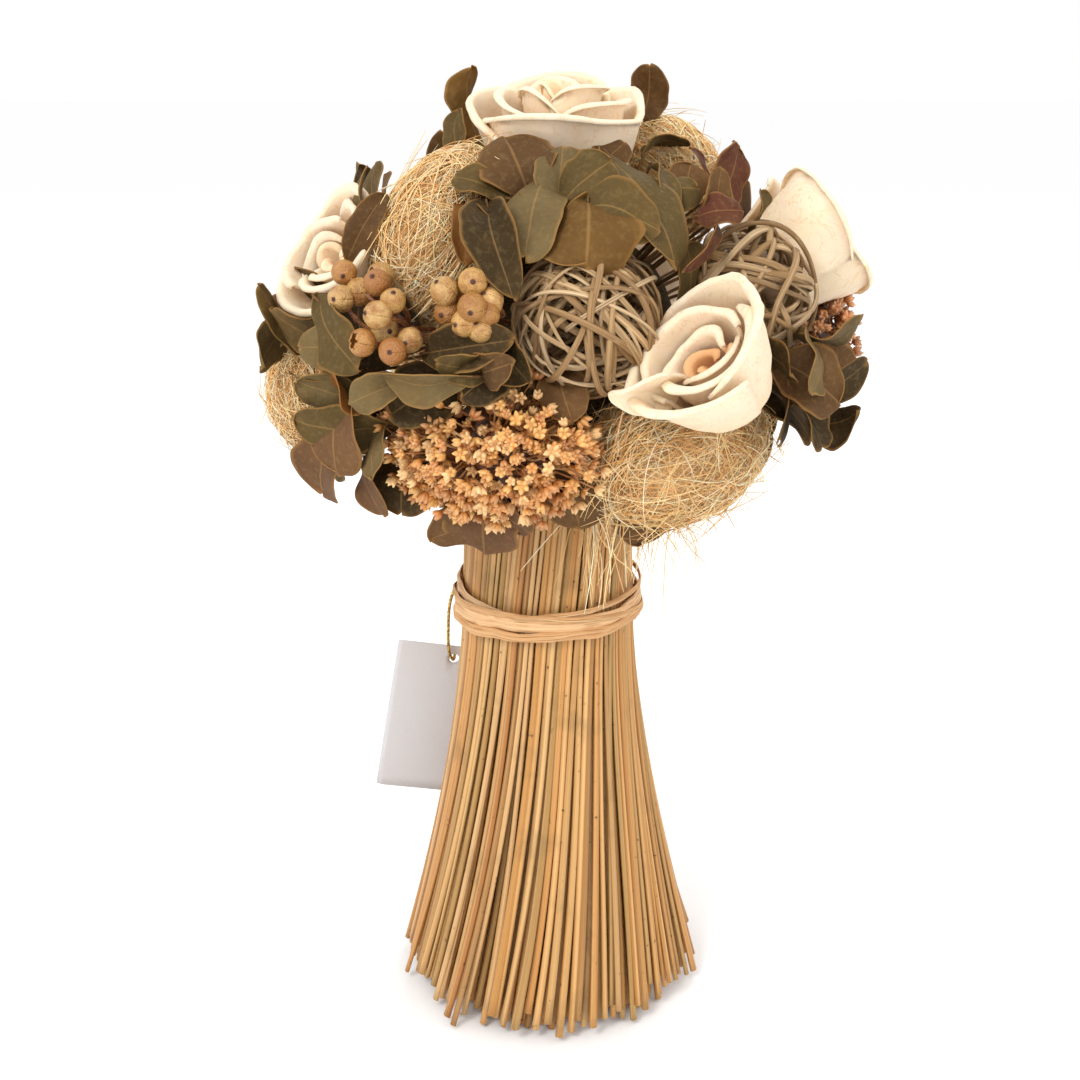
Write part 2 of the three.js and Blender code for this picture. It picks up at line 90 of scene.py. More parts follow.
def add_light(name, place, size, power):
    data = bpy.data.lights.new(name, "AREA")
    data.size = size
    data.energy = power
    light = bpy.data.objects.new(name, data)
    light.location = place
    aim = np.array([0, 0, 0.17]) - np.array(place)
    pitch = math.atan2(math.hypot(aim[0], aim[1]), -aim[2])
    light.rotation_euler = (pitch, 0, math.atan2(-aim[0], aim[1]))
    bpy.context.collection.objects.link(light)


def add_studio():
    world = bpy.data.worlds.new("studio")
    world.use_nodes = True
    background = world.node_tree.nodes["Background"]
    background.inputs["Color"].default_value = (1, 1, 1, 1)
    background.inputs["Strength"].default_value = 1.0
    bpy.context.scene.world = world
    bpy.context.scene.view_settings.view_transform = "Standard"
    add_light("key", (-0.6, -0.9, 1.15), 0.5, 9)
    add_light("fill", (1.0, -0.7, 0.7), 0.9, 3)
    add_light("rim", (0.3, 1.0, 1.0), 0.8, 4)
    data = bpy.data.meshes.new("floor")
    half = 30.0
    corners = [(-half, -half, 0), (half, -half, 0), (half, half, 0), (-half, half, 0)]
    data.from_pydata(corners, [], [(0, 1, 2, 3)])
    floor = bpy.data.objects.new("floor", data)
    pale = bpy.data.materials.new("floor")
    pale.use_nodes = True
    shader = pale.node_tree.nodes["Principled BSDF"]
    shader.inputs["Base Color"].default_value = (0.99, 0.99, 0.99, 1)
    shader.inputs["Specular IOR Level"].default_value = 0.0
    shader.inputs["Roughness"].default_value = 0.9
    data.materials.append(pale)
    bpy.context.collection.objects.link(floor)


# ---------------------------------------------------------------- vectors and noise


def unit(v):
    v = np.asarray(v, float)
    return v / np.maximum(np.linalg.norm(v, axis=-1, keepdims=True), 1e-9)


def direction(azimuth, elevation):
    a, e = math.radians(azimuth), math.radians(elevation)
    return np.array([math.sin(a) * math.cos(e), -math.cos(a) * math.cos(e), math.sin(e)])


def egg_place(node, radii):
    """The middle and the axes of an egg-shaped CAD node that stands out from the head.

    The stick behind it belongs to the node too, so the middle is found from the node's outer sides.
    """
    low, high = millimetres(node)
    out = unit((low + high) / 2 - HEAD)
    axes = axes_of(out)
    reach = np.sqrt(((axes * np.array(radii)[:, None]) ** 2).sum(0))
    return np.where(out > 0, high - reach, low + reach), axes


def head_point(place):
    return HEAD + direction(place[0], place[1]) * place[2]


def axes_of(outward):
    """Right, up and out of a piece that looks along outward, as rows."""
    out = unit(outward)
    right = unit(np.cross(UP, out))
    return np.array([right, np.cross(out, right), out])


def hashed(cells, seed):
    """A repeatable number from 0 to 1 for each whole-number cell."""
    x, y, z = (cells[..., i].astype(np.int64) for i in range(3))
    n = (x * 73856093) ^ (y * 19349663) ^ (z * 83492791) ^ (seed * 2654435761)
    n = (n ^ (n >> 13)) * 1274126177
    return ((n ^ (n >> 16)) & 0xFFFF) / 65535.0


def lumps(points, size, seed=0):
    """Smooth noise from -1 to 1, with lumps of about the given size."""
    p = np.asarray(points, float) / size
    cell = np.floor(p)
    f = p - cell
    f = f * f * (3 - 2 * f)
    total = 0
    for corner in np.ndindex(2, 2, 2):
        share = np.prod(np.where(corner, f, 1 - f), axis=-1)
        total = total + share * hashed(cell + corner, seed)
    return total * 2 - 1


def colour(code):
    """A hex colour as linear light."""
    rgb = np.array([int(code[i : i + 2], 16) / 255 for i in (1, 3, 5)])
    return np.where(rgb <= 0.04045, rgb / 12.92, ((rgb + 0.055) / 1.055) ** 2.4)


def paint(code):
    """The same, as the material nodes take it."""
    return tuple(colour(code))


def pick_tints(rng, codes, count, spread=0.12):
    """One colour for each strand, near one of the codes."""
    base = np.array([colour(code) for code in codes])[rng.integers(0, len(codes), count)]
    return np.clip(base * (1 + rng.normal(0, spread, (count, 1))), 0, 1)


# ---------------------------------------------------------------- meshes


class Pile:
    """Gathers surfaces in millimetres and makes one object of them. Each chart is a patch of the UV map."""

    def __init__(self):
        self.points, self.tints, self.marks_and_painted_light = [], [], []
        self.corners, self.sizes, self.uvs, self.charts = [], [], [], []
        self.count = 0
        self.chart_count = 0

    # The last argument is each point's share of a second colour: real marks on some pieces, painted shade and
    # painted highlight on others.
    def add(self, points, faces, tint, mark_and_painted_light=0.0):
        """faces is a list of (corner indices (F, k), uv (F, k, 2), chart (F,)) for these points."""
        total = len(points)
        self.points.append(points)
        self.tints.append(np.broadcast_to(tint, (total, 3)))
        self.marks_and_painted_light.append(np.broadcast_to(mark_and_painted_light, (total,)))
        highest = 0
        for corners, uv, chart in faces:
            self.corners.append((corners + self.count).ravel())
            self.sizes.append(np.full(len(corners), corners.shape[1]))
            self.uvs.append(uv.reshape(-1, 2))
            self.charts.append(np.repeat(chart + self.chart_count, corners.shape[1]))
            highest = max(highest, int(chart.max()) + 1)
        self.count += total
        self.chart_count += highest

    def make(self, name, material, replaces, slot, tall=1.0):
        """tall is how many times taller than wide a chart's room is."""
        points = np.concatenate(self.points) * MM
        corners = np.concatenate(self.corners)
        sizes = np.concatenate(self.sizes)
        mesh = bpy.data.meshes.new(name)
        mesh.vertices.add(len(points))
        mesh.vertices.foreach_set("co", points.ravel())
        mesh.loops.add(len(corners))
        mesh.loops.foreach_set("vertex_index", corners)
        mesh.polygons.add(len(sizes))
        mesh.polygons.foreach_set("loop_start", np.concatenate([[0], np.cumsum(sizes)[:-1]]))
        mesh.polygons.foreach_set("use_smooth", np.ones(len(sizes), bool))
        uv = np.concatenate(self.uvs)
        chart = np.concatenate(self.charts)
        columns = math.ceil(math.sqrt(self.chart_count * tall))
        rows = math.ceil(self.chart_count / columns)
        inset = 0.04 + 0.92 * uv
        sideways = (chart % columns + inset[:, 0]) / columns
        baked = np.stack([sideways, (chart // columns + inset[:, 1]) / rows], 1)
        own = np.stack([uv[:, 0] + 7.3 * (chart % 97), uv[:, 1] + 3.1 * (chart % 89)], 1)
        mesh.uv_layers.new(name="OFBake").data.foreach_set("uv", baked.ravel())
        mesh.uv_layers.new(name="strip").data.foreach_set("uv", own.ravel())
        tint = np.concatenate([np.concatenate(self.tints), np.ones((len(points), 1))], 1)
        mesh.attributes.new("tint", "FLOAT_COLOR", "POINT").data.foreach_set("color", tint.ravel())
        mesh.attributes.new("mark_and_painted_light", "FLOAT", "POINT").data.foreach_set("value", np.concatenate(self.marks_and_painted_light))
        mesh.update(calc_edges=True)
        mesh.validate()
        mesh.materials.append(material)
        piece = bpy.data.objects.new(name, mesh)
        bpy.context.collection.objects.link(piece)
        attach(piece, "root")
        if replaces:
            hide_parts(*replaces)
        return piece


def grid_faces(sheets, rows, columns, wrap=False, first=0):
    """The quads of sheets side by side, each rows by columns of points, and their UVs and charts."""
    across = columns if wrap else columns - 1
    s, i, j = np.meshgrid(np.arange(sheets), np.arange(rows - 1), np.arange(across), indexing="ij")
    right = (j + 1) % columns
    base = first + s * rows * columns
    row, next_row = base + i * columns, base + (i + 1) * columns
    corners = np.stack([row + j, row + right, next_row + right, next_row + j], -1)
    u0, u1, v0, v1 = j / across, (j + 1) / across, i / (rows - 1), (i + 1) / (rows - 1)
    uv = np.stack([np.stack([u, v], -1) for u, v in ((u0, v0), (u1, v0), (u1, v1), (u0, v1))], -2)
    return corners.reshape(-1, 4), uv.reshape(-1, 4, 2), s.ravel()


def carried_frames(paths):
    """Two directions across each path, carried along it without twisting."""
    along = unit(np.gradient(paths, axis=1))
    least = np.argmin(np.abs(along[:, 0]), axis=1)
    side = unit(np.cross(along[:, 0], np.eye(3)[least]))
    sides = [side]
    for i in range(1, paths.shape[1]):
        side = unit(side - np.sum(side * along[:, i], -1, keepdims=True) * along[:, i])
        sides.append(side)
    sides = np.stack(sides, 1)
    return sides, np.cross(along, sides)


def add_tubes(pile, paths, radius, tint, sides=6, flat=1.0, frames=None, ridges=None, mark_and_painted_light=None):
    """A closed tube along each path (m, n, 3). flat is its thickness as a share of its width."""
    m, n = paths.shape[:2]
    across, through = frames or carried_frames(paths)
    angle = 2 * math.pi * np.arange(sides) / sides
    radius = np.broadcast_to(radius, (m, n))[:, :, None]
    shape = radius if ridges is None else radius * ridges[:, None, :]
    x = shape * np.cos(angle)
    y = shape * np.sin(angle) * flat
    points = paths[:, :, None] + x[..., None] * across[:, :, None] + y[..., None] * through[:, :, None]
    quads = grid_faces(m, n, sides, wrap=True)
    ring = np.arange(sides)
    start = np.arange(m)[:, None] * n * sides
    flat_uv = np.broadcast_to(np.stack([ring / sides, 0 * ring], -1), (m, sides, 2))
    ends = [
        (start + ring[::-1], flat_uv, np.arange(m)),
        (start + (n - 1) * sides + ring, flat_uv + np.array([0, 1]), np.arange(m)),
    ]
    if mark_and_painted_light is not None:
        mark_and_painted_light = np.repeat(np.broadcast_to(mark_and_painted_light, (m, n)).ravel(), sides)
    tints = np.repeat(tint, n * sides, axis=0)
    pile.add(points.reshape(-1, 3), [quads, *ends], tints, 0.0 if mark_and_painted_light is None else mark_and_painted_light)


def add_beads(pile, places, frames, lengths, widths, tint, sides=8, rings=6, taper=0.0):
    """Egg shapes: frames (m, 3, 3) rows are two sides and the long axis. taper sharpens the far end."""
    m = len(places)
    v = np.linspace(0, 1, rings + 1)
    angle = 2 * math.pi * np.arange(sides) / sides
    profile = np.sin(math.pi * np.clip(v, 0.03, 0.97)) ** 0.8 * (1 - taper * v)
    ring = np.stack([np.outer(profile, np.cos(angle)), np.outer(profile, np.sin(angle))], -1)
    height = np.broadcast_to((v - 0.5)[:, None], ring.shape[:2])
    size = np.broadcast_to(widths, (m,))[:, None, None, None]
    local = ring[None] * size / 2
    up = height[None, ..., None] * np.broadcast_to(lengths, (m,))[:, None, None, None]
    points = places[:, None, None] + local[..., :1] * frames[:, None, None, 0]
    points = points + local[..., 1:] * frames[:, None, None, 1]
    points = points + up * frames[:, None, None, 2]
    n = rings + 1
    quads = grid_faces(m, n, sides, wrap=True)
    loop = np.arange(sides)
    start = np.arange(m)[:, None] * n * sides
    blank = np.zeros((m, sides, 2))
    ends = [
        (start + loop[::-1], blank, np.arange(m)),
        (start + (n - 1) * sides + loop, blank + np.array([0, 1]), np.arange(m)),
    ]
    # rise, 0 at the foot and 1 at the tip, is the share of the painted highlight on seeds.
    rise = np.tile(np.repeat(v, sides), m)
    pile.add(points.reshape(-1, 3), [quads, *ends], np.repeat(tint, n * sides, axis=0), rise)


def add_shell(pile, surface, thickness, tint, mark_and_painted_light):
    """A thin closed sheet: surface (m, rows, columns, 3) is its middle, and its rim is closed."""
    m, rows, columns = surface.shape[:3]
    down = np.gradient(surface, axis=1)
    right = np.gradient(surface, axis=2)
    normal = unit(np.cross(right, down))
    half = np.broadcast_to(thickness, surface.shape[:3])[..., None] / 2
    front = (surface + normal * half).reshape(-1, 3)
    back = (surface - normal * half).reshape(-1, 3)
    corners, uv, chart = grid_faces(m, rows, columns)
    total = len(front)
    faces = [(corners[:, ::-1], uv[:, ::-1], chart * 2), (corners + total, uv, chart * 2 + 1)]
    loop = np.concatenate(
        [
            np.arange(columns - 1),
            (np.arange(rows - 1) + 1) * columns - 1,
            rows * columns - 1 - np.arange(columns - 1),
            (rows - 1 - np.arange(rows - 1)) * columns,
        ]
    )
    after = np.roll(loop, -1)
    rim = np.stack([loop, after, after + total, loop + total], -1)
    start = np.arange(m)[:, None, None] * rows * columns
    place = np.stack([loop % columns / (columns - 1), loop // columns / (rows - 1)], -1)
    next_place = np.roll(place, -1, 0)
    rim_uv = np.stack([place, next_place, next_place, place], 1)
    rim_uv = np.broadcast_to(rim_uv, (m, *rim.shape, 2)).reshape(-1, 4, 2)
    faces.append(((start + rim[None]).reshape(-1, 4), rim_uv, np.repeat(np.arange(m) * 2, len(rim))))
    both = np.concatenate([front, back])
    mark_and_painted_light = np.tile(np.broadcast_to(mark_and_painted_light, surface.shape[:3]).ravel(), 2)
    tint = np.tile(np.broadcast_to(tint, surface.shape).reshape(-1, 3), (2, 1))
    pile.add(both, faces, tint, mark_and_painted_light)


# ---------------------------------------------------------------- materials


class Surface:
    """A node material under construction. Each call adds a node and gives back its output."""

    def __init__(self, name, roughness=0.8, specular=0.3):
        self.material = bpy.data.materials.new(name)
        self.material.use_nodes = True
        self.tree = self.material.node_tree
        self.shader = self.tree.nodes["Principled BSDF"]
        self.set(Roughness=roughness)
        self.shader.inputs["Specular IOR Level"].default_value = specular
        self.place = self.node("ShaderNodeTexCoord").outputs["Object"]

    def node(self, kind, **inputs):
        made = self.tree.nodes.new(kind)
        for key, value in inputs.items():
            self.give(made.inputs[key.replace("_", " ")], value)
        return made

    def give(self, socket, value):
        if isinstance(value, bpy.types.NodeSocket):
            self.tree.links.new(value, socket)
        else:
            socket.default_value = value

    def set(self, **inputs):
        for key, value in inputs.items():
            self.give(self.shader.inputs[key.replace("_", " ")], value)

    def attribute(self, name):
        made = self.node("ShaderNodeAttribute")
        made.attribute_name = name
        return made.outputs["Color" if name == "tint" else "Fac"]

    def strip(self, across=1.0, along=1.0):
        """The place on a piece's own chart, stretched."""
        uv = self.node("ShaderNodeUVMap")
        uv.uv_map = "strip"
        scaled = self.node("ShaderNodeMapping", Vector=uv.outputs["UV"], Scale=(across, along, 1))
        return scaled.outputs["Vector"]

    def noise(self, scale, detail=3.0, at=None, distortion=0.0):
        at = self.place if at is None else at
        made = self.node("ShaderNodeTexNoise", Vector=at, Scale=scale, Detail=detail, Distortion=distortion)
        return made.outputs["Fac"]

    def cells(self, scale, at=None):
        at = self.place if at is None else at
        return self.node("ShaderNodeTexVoronoi", Vector=at, Scale=scale).outputs["Distance"]

    def ramp(self, value, *stops):
        made = self.node("ShaderNodeValToRGB", Fac=value)
        elements = made.color_ramp.elements
        while len(elements) < len(stops):
            elements.new(0.5)
        for element, (position, shade) in zip(elements, stops):
            element.position = position
            element.color = (*shade, 1) if hasattr(shade, "__len__") else (shade, shade, shade, 1)
        return made.outputs["Color"]

    def mix(self, share, a, b, kind="MIX"):
        made = self.tree.nodes.new("ShaderNodeMix")
        made.data_type = "RGBA"
        made.blend_type = kind
        for socket, value in zip((made.inputs[0], made.inputs[6], made.inputs[7]), (share, a, b)):
            self.give(socket, (*value, 1) if isinstance(value, (tuple, np.ndarray)) else value)
        return made.outputs[2]

    def math(self, kind, a, b=0.0):
        made = self.tree.nodes.new("ShaderNodeMath")
        made.operation = kind
        self.give(made.inputs[0], a)
        self.give(made.inputs[1], b)
        return made.outputs[0]

    def bump(self, *layers):
        """layers are (height, distance in millimetres)."""
        normal = None
        for height, distance in layers:
            made = self.node("ShaderNodeBump", Height=height, Distance=distance * MM, Strength=1.0)
            if normal is not None:
                self.give(made.inputs["Normal"], normal)
            normal = made.outputs["Normal"]
        self.set(Normal=normal)


def straw_material():
    s = Surface("straw", 0.55, 0.4)
    grain = s.noise(1.0, 4, s.strip(14, 3))
    streak = s.noise(1.0, 2, s.strip(5, 0.6))
    blotch = s.noise(60, 3)
    base = s.mix(s.ramp(grain, (0.35, 0.0), (0.7, 0.45)), s.attribute("tint"), paint("#96652f"), "MIX")
    base = s.mix(s.ramp(streak, (0.45, 0.0), (0.75, 0.55)), base, paint("#ecc68a"), "MIX")
    base = s.mix(s.ramp(blotch, (0.58, 0.0), (0.78, 0.5)), base, paint("#7d6034"), "MIX")
    specks = s.ramp(s.noise(420, 2), (0.70, 0.0), (0.76, 0.8))
    base = s.mix(specks, base, paint("#4c3219"), "MIX")
    # Painted shade: the bore inside each straw's open foot is darkened.
    base = s.mix(s.attribute("mark_and_painted_light"), base, paint("#4a3418"), "MIX")
    s.set(Base_Color=base, Roughness=s.ramp(grain, (0.3, 0.42), (0.8, 0.7)))
    s.bump((grain, 0.22), (streak, 0.15))
    return s.material


def raffia_material():
    s = Surface("raffia", 0.6, 0.35)
    fibre = s.noise(1.0, 4, s.strip(26, 3.5))
    fold = s.noise(1.0, 2, s.strip(7, 1.6))
    base = s.mix(s.ramp(fibre, (0.35, 0.0), (0.75, 0.7)), s.attribute("tint"), paint("#c08148"), "MIX")
    base = s.mix(s.ramp(fold, (0.5, 0.0), (0.72, 0.5)), base, paint("#efd2a4"), "MIX")
    # Painted shade in the hollows of the crumpled strips.
    base = s.mix(s.attribute("mark_and_painted_light"), base, paint("#a9703c"), "MIX")
    s.set(Base_Color=base)
    s.bump((fold, 0.5), (fibre, 0.25))
    return s.material


def petal_material():
    s = Surface("rose_petal", 0.62, 0.25)
    cloud = s.noise(55, 4)
    vein = s.noise(1.0, 3, s.strip(16, 1.6))
    fine = s.noise(900, 3)
    base = s.mix(s.ramp(cloud, (0.35, 0.0), (0.7, 0.6)), s.attribute("tint"), paint("#f6e3bf"), "MIX")
    base = s.mix(s.ramp(vein, (0.55, 0.0), (0.8, 0.35)), base, paint("#eed3a0"), "MIX")
    creases = s.ramp(s.noise(130, 4, distortion=1.4), (0.485, 0.0), (0.5, 0.5), (0.515, 0.0))
    base = s.mix(s.math("MULTIPLY", creases, 0.85), base, paint("#dca766"), "MIX")
    # Painted warm shade, strongest at the foot of each petal deep inside the rose.
    base = s.mix(s.attribute("mark_and_painted_light"), base, paint("#dd9a58"), "MIX")
    s.set(Base_Color=base, Subsurface_Weight=0.22, Subsurface_Scale=0.003, Subsurface_Radius=(1.0, 0.55, 0.3))
    s.bump((cloud, 0.6), (vein, 0.22), (fine, 0.06))
    return s.material


def leaf_material():
    s = Surface("dried_leaf", 0.72, 0.18)
    uv = s.node("ShaderNodeUVMap")
    uv.uv_map = "leaf"
    parts = s.node("ShaderNodeSeparateXYZ", Vector=uv.outputs["UV"]).outputs
    aside = s.math("ABSOLUTE", s.math("SUBTRACT", parts[0], 0.5))
    slanted = s.math("SUBTRACT", parts[1], s.math("MULTIPLY", aside, 0.75))
    wave = s.math("ABSOLUTE", s.math("SINE", s.math("MULTIPLY", slanted, 24.0)))
    side_vein = s.ramp(wave, (0.0, 1.0), (0.10, 0.0))
    midrib = s.ramp(aside, (0.0, 1.0), (0.012, 0.7), (0.024, 0.0))
    mottle = s.noise(150, 5)
    grain = s.noise(620, 4)
    patch = s.noise(45, 3)
    tint = s.attribute("tint")
    base = s.mix(s.ramp(mottle, (0.3, 0.0), (0.75, 0.75)), tint, s.mix(0.4, tint, paint("#3a2a14")), "MIX")
    base = s.mix(s.ramp(patch, (0.5, 0.0), (0.8, 0.4)), base, paint("#805d30"), "MIX")
    base = s.mix(s.ramp(grain, (0.5, 0.0), (0.85, 0.22)), base, paint("#a58c5c"), "MIX")
    base = s.mix(s.math("MULTIPLY", side_vein, 0.10), base, paint("#a58a58"), "MIX")
    base = s.mix(s.math("MULTIPLY", midrib, 0.3), base, paint("#b88d55"), "MIX")
    base = s.mix(s.attribute("mark_and_painted_light"), base, paint("#b58446"), "MIX")
    s.set(Base_Color=base)
    s.bump((side_vein, 0.05), (mottle, 0.5), (grain, 0.2))
    return s.material


def sisal_material():
    s = Surface("sisal", 0.5, 0.4)
    along = s.noise(1.0, 3, s.strip(3, 9))
    base = s.mix(s.ramp(along, (0.45, 0.0), (0.75, 0.4)), s.attribute("tint"), paint("#edb878"), "MIX")
    s.set(Base_Color=base)
    s.bump((along, 0.05))
    return s.material


def rattan_material():
    s = Surface("rattan", 0.6, 0.3)
    grain = s.noise(1.0, 4, s.strip(9, 20))
    fibre = s.noise(1.0, 3, s.strip(11, 2.2))
    base = s.mix(s.ramp(fibre, (0.35, 0.0), (0.7, 0.85)), s.attribute("tint"), paint("#7d5c38"), "MIX")
    base = s.mix(s.ramp(grain, (0.55, 0.0), (0.8, 0.5)), base, paint("#d8c39a"), "MIX")
    s.set(Base_Color=base)
    s.bump((fibre, 0.35), (grain, 0.1))
    return s.material


def berry_material():
    s = Surface("berry", 0.36, 0.6)
    pits = s.cells(2000)
    blotch = s.noise(330, 4)
    base = s.mix(s.ramp(blotch, (0.4, 0.0), (0.68, 0.85)), s.attribute("tint"), paint("#9a5f27"), "MIX")
    # The pits are darker than the skin: painted shade in the dimples.
    base = s.mix(s.ramp(pits, (0.0, 0.55), (0.3, 0.0)), base, paint("#7c4a1e"), "MIX")
    base = s.mix(s.attribute("mark_and_painted_light"), base, paint("#4d1f10"), "MIX")
    s.set(Base_Color=base, Roughness=s.ramp(blotch, (0.3, 0.28), (0.8, 0.45)))
    s.bump((pits, 0.24), (blotch, 0.2))
    return s.material


def seed_material():
    s = Surface("seed_head", 0.38, 0.55)
    blotch = s.noise(520, 3)
    base = s.mix(s.ramp(blotch, (0.4, 0.0), (0.75, 0.7)), s.attribute("tint"), paint("#a85f1f"), "MIX")
    # Seeds and buds are lighter towards their tips: painted highlight.
    base = s.mix(s.math("MULTIPLY", s.attribute("mark_and_painted_light"), 0.4), base, paint("#ecc78f"), "MIX")
    s.set(Base_Color=base)
    s.bump((blotch, 0.12))
    return s.material


# The foam's brown is made dark, and darker still in its pores, as painted shade for the gaps in the head
# where it shows.
def foam_material():
    s = Surface("foam", 1.0, 0.1)
    pores = s.cells(900)
    cloud = s.noise(200, 3)
    base = s.mix(s.ramp(pores, (0.1, 0.8), (0.5, 0.0)), paint("#4e4029"), paint("#241a0e"), "MIX")
    base = s.mix(s.ramp(cloud, (0.4, 0.0), (0.8, 0.5)), base, paint("#5c4c30"), "MIX")
    s.set(Base_Color=base)
    s.bump((pores, 0.6))
    return s.material


def tag_material():
    s = Surface("tag_paper", 0.75, 0.25)
    fibre = s.noise(700, 4)
    cloud = s.noise(25, 2)
    base = s.mix(s.ramp(cloud, (0.4, 0.0), (0.7, 0.6)), paint("#d3d2d3"), paint("#d2cbcb"), "MIX")
    base = s.mix(s.ramp(fibre, (0.5, 0.0), (0.9, 0.25)), base, paint("#c6c0bb"), "MIX")
    s.set(Base_Color=base)
    s.bump((fibre, 0.04))
    return s.material


def thread_material():
    s = Surface("gold_thread", 0.35, 0.5)
    twist = s.noise(1.0, 2, s.strip(2, 26))
    base = s.mix(s.ramp(twist, (0.35, 0.0), (0.65, 1.0)), paint("#8a6420"), paint("#e0bd6b"), "MIX")
    s.set(Base_Color=base, Metallic=0.75)
    s.bump((twist, 0.12))
    return s.material


MATERIALS = {
    "straw": straw_material(),
    "raffia": raffia_material(),
    "rose_petal": petal_material(),
    "dried_leaf": leaf_material(),
    "sisal": sisal_material(),
    "rattan": rattan_material(),
    "berry": berry_material(),
    "seed_head": seed_material(),
    "foam": foam_material(),
    "tag_paper": tag_material(),
    "gold_thread": thread_material(),
}


def finished(pile, name, slot, replaces=(), tall=1.0):
    return pile.make(name, MATERIALS[slot], replaces, slot, tall)


# ---------------------------------------------------------------- the tag on its thread

# The thread's points, as in the CAD model: out from under the tie, down, and through the tag's hole.
THREAD_ROUTE = [
    (-33.2, 13.6, 146.0),
    (-34.6, 15.0, 143.0),
    (-36.0, 17.5, 138.0),
    (-36.8, 20.0, 132.0),
    (-37.2, 22.4, 126.0),
    (-37.4, 23.6, 120.0),
    (-37.0, 24.0, 115.0),
    (-36.0, 25.2, 112.3),
    (-35.5, 27.2, 112.0),
    (-35.3, 29.4, 112.6),
]
THREAD_DIAMETER = 1.3
TAG_HOLE = np.array([-35.5, 27.0, 112.0])


def smooth_path(points, count):
    """A Catmull-Rom curve through the points."""
    p = np.array(points, float)
    padded = np.vstack([2 * p[0] - p[1], p, 2 * p[-1] - p[-2]])
    t = np.linspace(0, len(p) - 1 - 1e-6, count)
    i = t.astype(int)
    f = (t - i)[:, None]
    a, b, c, d = (padded[i + k] for k in range(4))
    return 0.5 * (2 * b + (c - a) * f + (2 * a - 5 * b + 4 * c - d) * f**2 + (3 * b - a - 3 * c + d) * f**3)


def add_thread(tag):
    """Two plies wound round each other, drawn as one cord with a winding groove."""
    path = smooth_path(THREAD_ROUTE, 160)[None]
    length = np.linalg.norm(np.diff(path[0], axis=0), axis=1).sum()
    across, through = carried_frames(path)
    turn = np.linspace(0, 2 * math.pi * length / 3.2, path.shape[1])[None, :, None]
    spun = across * np.cos(turn) + through * np.sin(turn)
    frames = (spun, np.cross(unit(np.gradient(path, axis=1)), spun))
    angle = 2 * math.pi * np.arange(16) / 16
    pile = Pile()
    strands = 0.78 + 0.22 * np.abs(np.cos(angle))[None]
    add_tubes(pile, path, THREAD_DIAMETER / 2, colour("#caa24c")[None], 16, 1.0, frames, strands)
    piece = finished(pile, "gold_thread", "gold_thread", ["tag_thread"], 20)


def add_tag():
    """A card with a punched hole, hung where the CAD card hangs and 5 mm taller than it."""
    width, height, lean, yaw = 30.0, 61.0, math.radians(10), math.radians(8)
    right, top, radius = 8.0, 5.0, 1.8
    around = 96
    angle = 2 * math.pi * np.arange(around) / around
    hole = np.stack([np.cos(angle), np.sin(angle)], 1) * radius
    left, bottom = right - width, top - height
    far = 1e9
    reach = []
    for x, z in np.stack([np.cos(angle), np.sin(angle)], 1):
        to_side = (right if x > 0 else left) / x if x else far
        to_end = (top if z > 0 else bottom) / z if z else far
        reach.append(min(to_side, to_end))
    outline = np.stack([np.cos(angle), np.sin(angle)], 1) * np.array(reach)[:, None]
    corners = np.array([[right, top], [left, top], [left, bottom], [right, bottom]])
    for corner in corners:
        outline[np.argmin(np.linalg.norm(outline - corner, axis=1))] = corner * 0.992
    rings = np.linspace(0, 1, 12)[:, None, None]
    flat = hole[None] * (1 - rings) + outline[None] * rings
    bow = 1.2 * ((flat[..., 1] - top) / height) ** 2
    local = np.stack([flat[..., 0], bow, flat[..., 1]], -1)
    local = np.concatenate([local, local[:, :1]], 1)
    lean_by = np.array([[math.cos(lean), 0, math.sin(lean)], [0, 1, 0], [-math.sin(lean), 0, math.cos(lean)]])
    yaw_by = np.array([[math.cos(yaw), -math.sin(yaw), 0], [math.sin(yaw), math.cos(yaw), 0], [0, 0, 1]])
    placed = local @ lean_by.T @ yaw_by.T + TAG_HOLE
    pile = Pile()
    add_shell(pile, placed[None], 0.55, colour("#dcdad7"), 0.0)
    return finished(pile, "card_tag", "tag_paper", ["paper_tag"])


# ---------------------------------------------------------------- the sheaf


def sheaf_radius(z):
    share = np.clip(1 - z / WAIST_HEIGHT, 0, 1)
    neck = 1 - 0.06 * np.clip((z - WAIST_HEIGHT) / (STRAW_TOP - WAIST_HEIGHT), 0, 1)
    return (WAIST_RADIUS + (FOOT_RADIUS - WAIST_RADIUS) * share**1.5) * neck


STRAW_TINTS = [
    "#cb9554", "#c08a49", "#d3a163", "#b57f42", "#b18a50", "#c48a4a", "#a47642", "#d5aa74", "#a86e38",
]


def straw_paths(rng, rho, azimuth, levels=22):
    """Centre lines of straws, from their ragged feet to the head."""
    count = len(rho)
    loose = np.clip(rng.normal(0, 1, (count, 3)), -2, 2)
    foot = rng.uniform(0.0, 5.0, count) + np.clip(rho - 0.85, 0, 1) * rng.uniform(0, 40, count)
    share = np.linspace(0, 1, levels)[None] ** 1.1
    z = foot[:, None] + (STRAW_TOP + 1 - foot[:, None]) * share
    spread = np.clip(1 - z / WAIST_HEIGHT, 0, 1)
    reach = rho[:, None] * sheaf_radius(z) - 1.35
    reach = reach + spread * loose[:, :1] * 1.5 * (1.2 - rho[:, None])
    stray = (rho[:, None] > 0.97) * np.clip(loose[:, 1:2] - 0.6, 0, 1) * 5 * spread**2
    reach = np.clip(reach, 0.2, sheaf_radius(z) - 1.2) + stray
    sway = 0.3 * np.sin(z / 31 + loose[:, 1:2] * 5) / np.maximum(reach, 8)
    turn = np.radians(0.13 * np.minimum(z - WAIST_HEIGHT, 0) + 0.2 * np.maximum(z - WAIST_HEIGHT, 0))
    angle = azimuth[:, None] + turn + spread * loose[:, 2:] * 1.3 / 40 + sway
    return np.stack([np.sin(angle) * reach, -np.cos(angle) * reach, z], -1)


